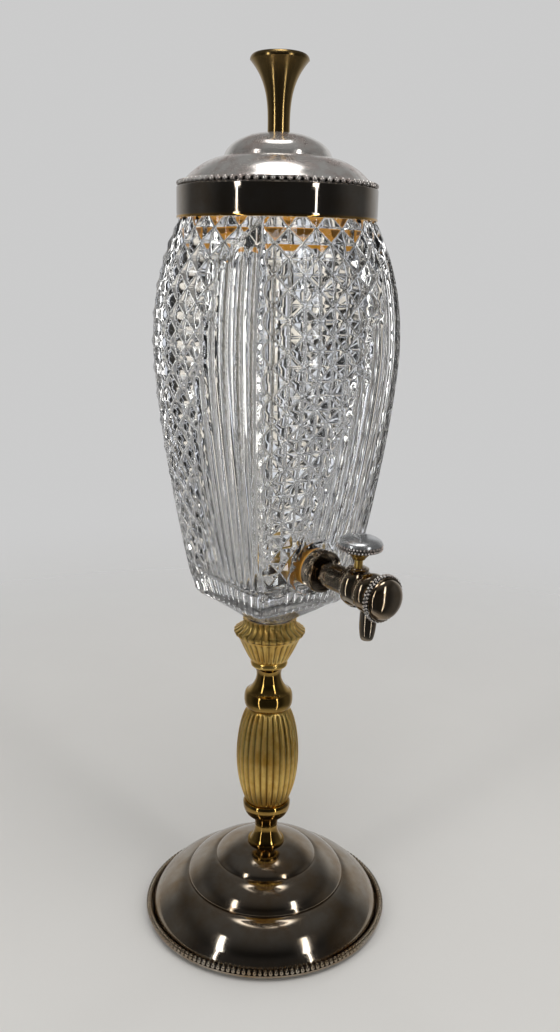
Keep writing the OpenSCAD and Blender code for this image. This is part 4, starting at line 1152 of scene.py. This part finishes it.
# %% Front cap
CAP_DOME_S = 74.9
CAP_DOME_R = 8.6
CAP_DOME_H = 4.75
cap_line = [
    (0, 74.5), (6.05, 74.5), (6.05, 70.4), (6.8, 70.4), (8.2, 71.2), (9.35, 72.0), (9.35, 74.75),
    (9.25, 75.1), (9.0, 75.25), (8.75, 75.15), (8.65, CAP_DOME_S),
]
cap_line += dome(CAP_DOME_R, CAP_DOME_S, CAP_DOME_H)
front_cap = turned("front_cap_domed", cap_line, steps=96)
fitted(set_in(front_cap, along_tap), "front_cap", nickel)

SMALL_BEADS = 40
CAP_BEAD_MM = (1.35, 1.15, 1.2)
CAP_BAND = [(9.4, 72.05), (9.6, 72.15), (9.6, 74.65), (9.4, 74.75)]
cap_rows = [(9.6, 72.75), (9.6, 74.1)]
cap_beads = bead_ring("cap_rim_beads", cap_rows, SMALL_BEADS, CAP_BEAD_MM, CAP_BAND)
fitted(set_in(cap_beads, along_tap), "cap_bead_ring", silver)

# %% [markdown]
# ## Push button
# The button is a shallow dome with two rows of beads round its edge and a ringed cone below it. It slides
# on its stem, so its pieces ride on the button's own body. The spring under the valve stands on the tap and
# shortens as the button goes down; here it is coiled from wire and given its own copy of its mesh.

# %% Button
BUTTON_DOME_Z = 19.3
BUTTON_DOME_R = 9.25
BUTTON_DOME_H = 2.85
BUTTON_BORE_R = 1.85
BUTTON_BORE_TOP = 19.25
CONE_TOP = 16.45
button_line = [
    (BUTTON_BORE_R, 12.2), (2.55, 12.2), (2.7, 12.35), (2.7, 12.75), (3.0, 12.9), (3.15, 13.05),
    (3.15, 13.45), (3.6, 13.6), (3.75, 13.75), (3.75, 14.15), (4.4, 14.35), (4.6, 14.55), (4.6, 14.9),
    (5.4, 15.2), (6.7, 15.7), (7.9, 16.2), (8.35, 16.5), (8.75, 16.5), (8.75, 19.0), (9.25, 19.05),
    (9.4, 19.15), (9.35, BUTTON_DOME_Z),
]
button_line += dome(BUTTON_DOME_R, BUTTON_DOME_Z, BUTTON_DOME_H)
button_line += [(0, BUTTON_BORE_TOP), (BUTTON_BORE_R, BUTTON_BORE_TOP)]
button = turned("button_domed", button_line, steps=96)
# The button's finish shows bare brass where the groove is marked, and that is the whole cone.
bare = [1.0 if vertex.co.z < CONE_TOP * MM else 0.0 for vertex in button.data.vertices]
button.data.attributes.new("groove", "FLOAT", "POINT").data.foreach_set("value", bare)
fitted(set_in(button, upright(VALVE_S)), "button", button_nickel)

BUTTON_BEAD_MM = (1.35, 1.1, 1.15)
BUTTON_BAND = [(8.8, 16.55), (9.0, 16.65), (9.0, 19.05), (8.8, 19.15)]
button_rows = [(9.0, 17.2), (9.0, 18.5)]
button_beads = bead_ring("button_rim_beads", button_rows, SMALL_BEADS, BUTTON_BEAD_MM, BUTTON_BAND)
fitted(set_in(button_beads, upright(VALVE_S)), "button_bead_ring", silver)

# %% Spring
WIRE = 0.56
WIRE_SIDES = 8
COILS = 4
COIL_R = 2.82
COIL_STEPS = 24
SPRING_LOW = -6.17
SPRING_HIGH = -0.78

bpy.ops.object.select_all(action="DESELECT")
bpy.ops.mesh.primitive_circle_add(vertices=WIRE_SIDES, radius=WIRE / 2 * MM)
spring = bpy.context.object
spring.name = "return_spring_coiled"
set_in(spring, Matrix.Translation((COIL_R * MM, 0, SPRING_LOW * MM)) @ Matrix.Rotation(math.pi / 2, 4, "X"))
coil = spring.modifiers.new("coil", "SCREW")
coil.steps = COIL_STEPS
coil.render_steps = COIL_STEPS
coil.iterations = COILS
coil.screw_offset = (SPRING_HIGH - SPRING_LOW) / COILS * MM
bpy.ops.object.modifier_apply(modifier="coil")
bpy.ops.object.mode_set(mode="EDIT")
bpy.ops.mesh.select_all(action="SELECT")
bpy.ops.mesh.fill_holes(sides=WIRE_SIDES)
face_outwards()
bpy.ops.object.shade_smooth_by_angle(angle=math.radians(50))
fitted(set_in(spring, upright(VALVE_S)), "return_spring", steel)
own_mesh(spring)

# %% [markdown]
# ## Pieces that keep their solids
# Nuts, washers, the rod, the weight, the seals, the putty and the lid's liner are hidden, seen through the
# glass or seen only with the lid off. Their solids have the right shape, so they only get a finish, chosen
# by the record's slot or by name.

# %% Finish the solids
solid_finish = {
    "felt": felt, "steel": steel, "iron": iron, "nickel_plate": nickel, "gilt_brass": gilt,
    "dark_brass": dark_brass, "silver_plate": silver, "crystal": crystal, "cement": putty,
    "seal_rubber": rubber,
}
own_finish = {"tap_gasket": gum_rubber, "inner_gasket": gum_rubber, "collar_cement": amber}
for node, solid in frame["nodes"].items():
    solid.data.materials.clear()
    solid.data.materials.append(own_finish.get(node, solid_finish[slot_of[node]]))
print("solids finished", len(frame["nodes"]))
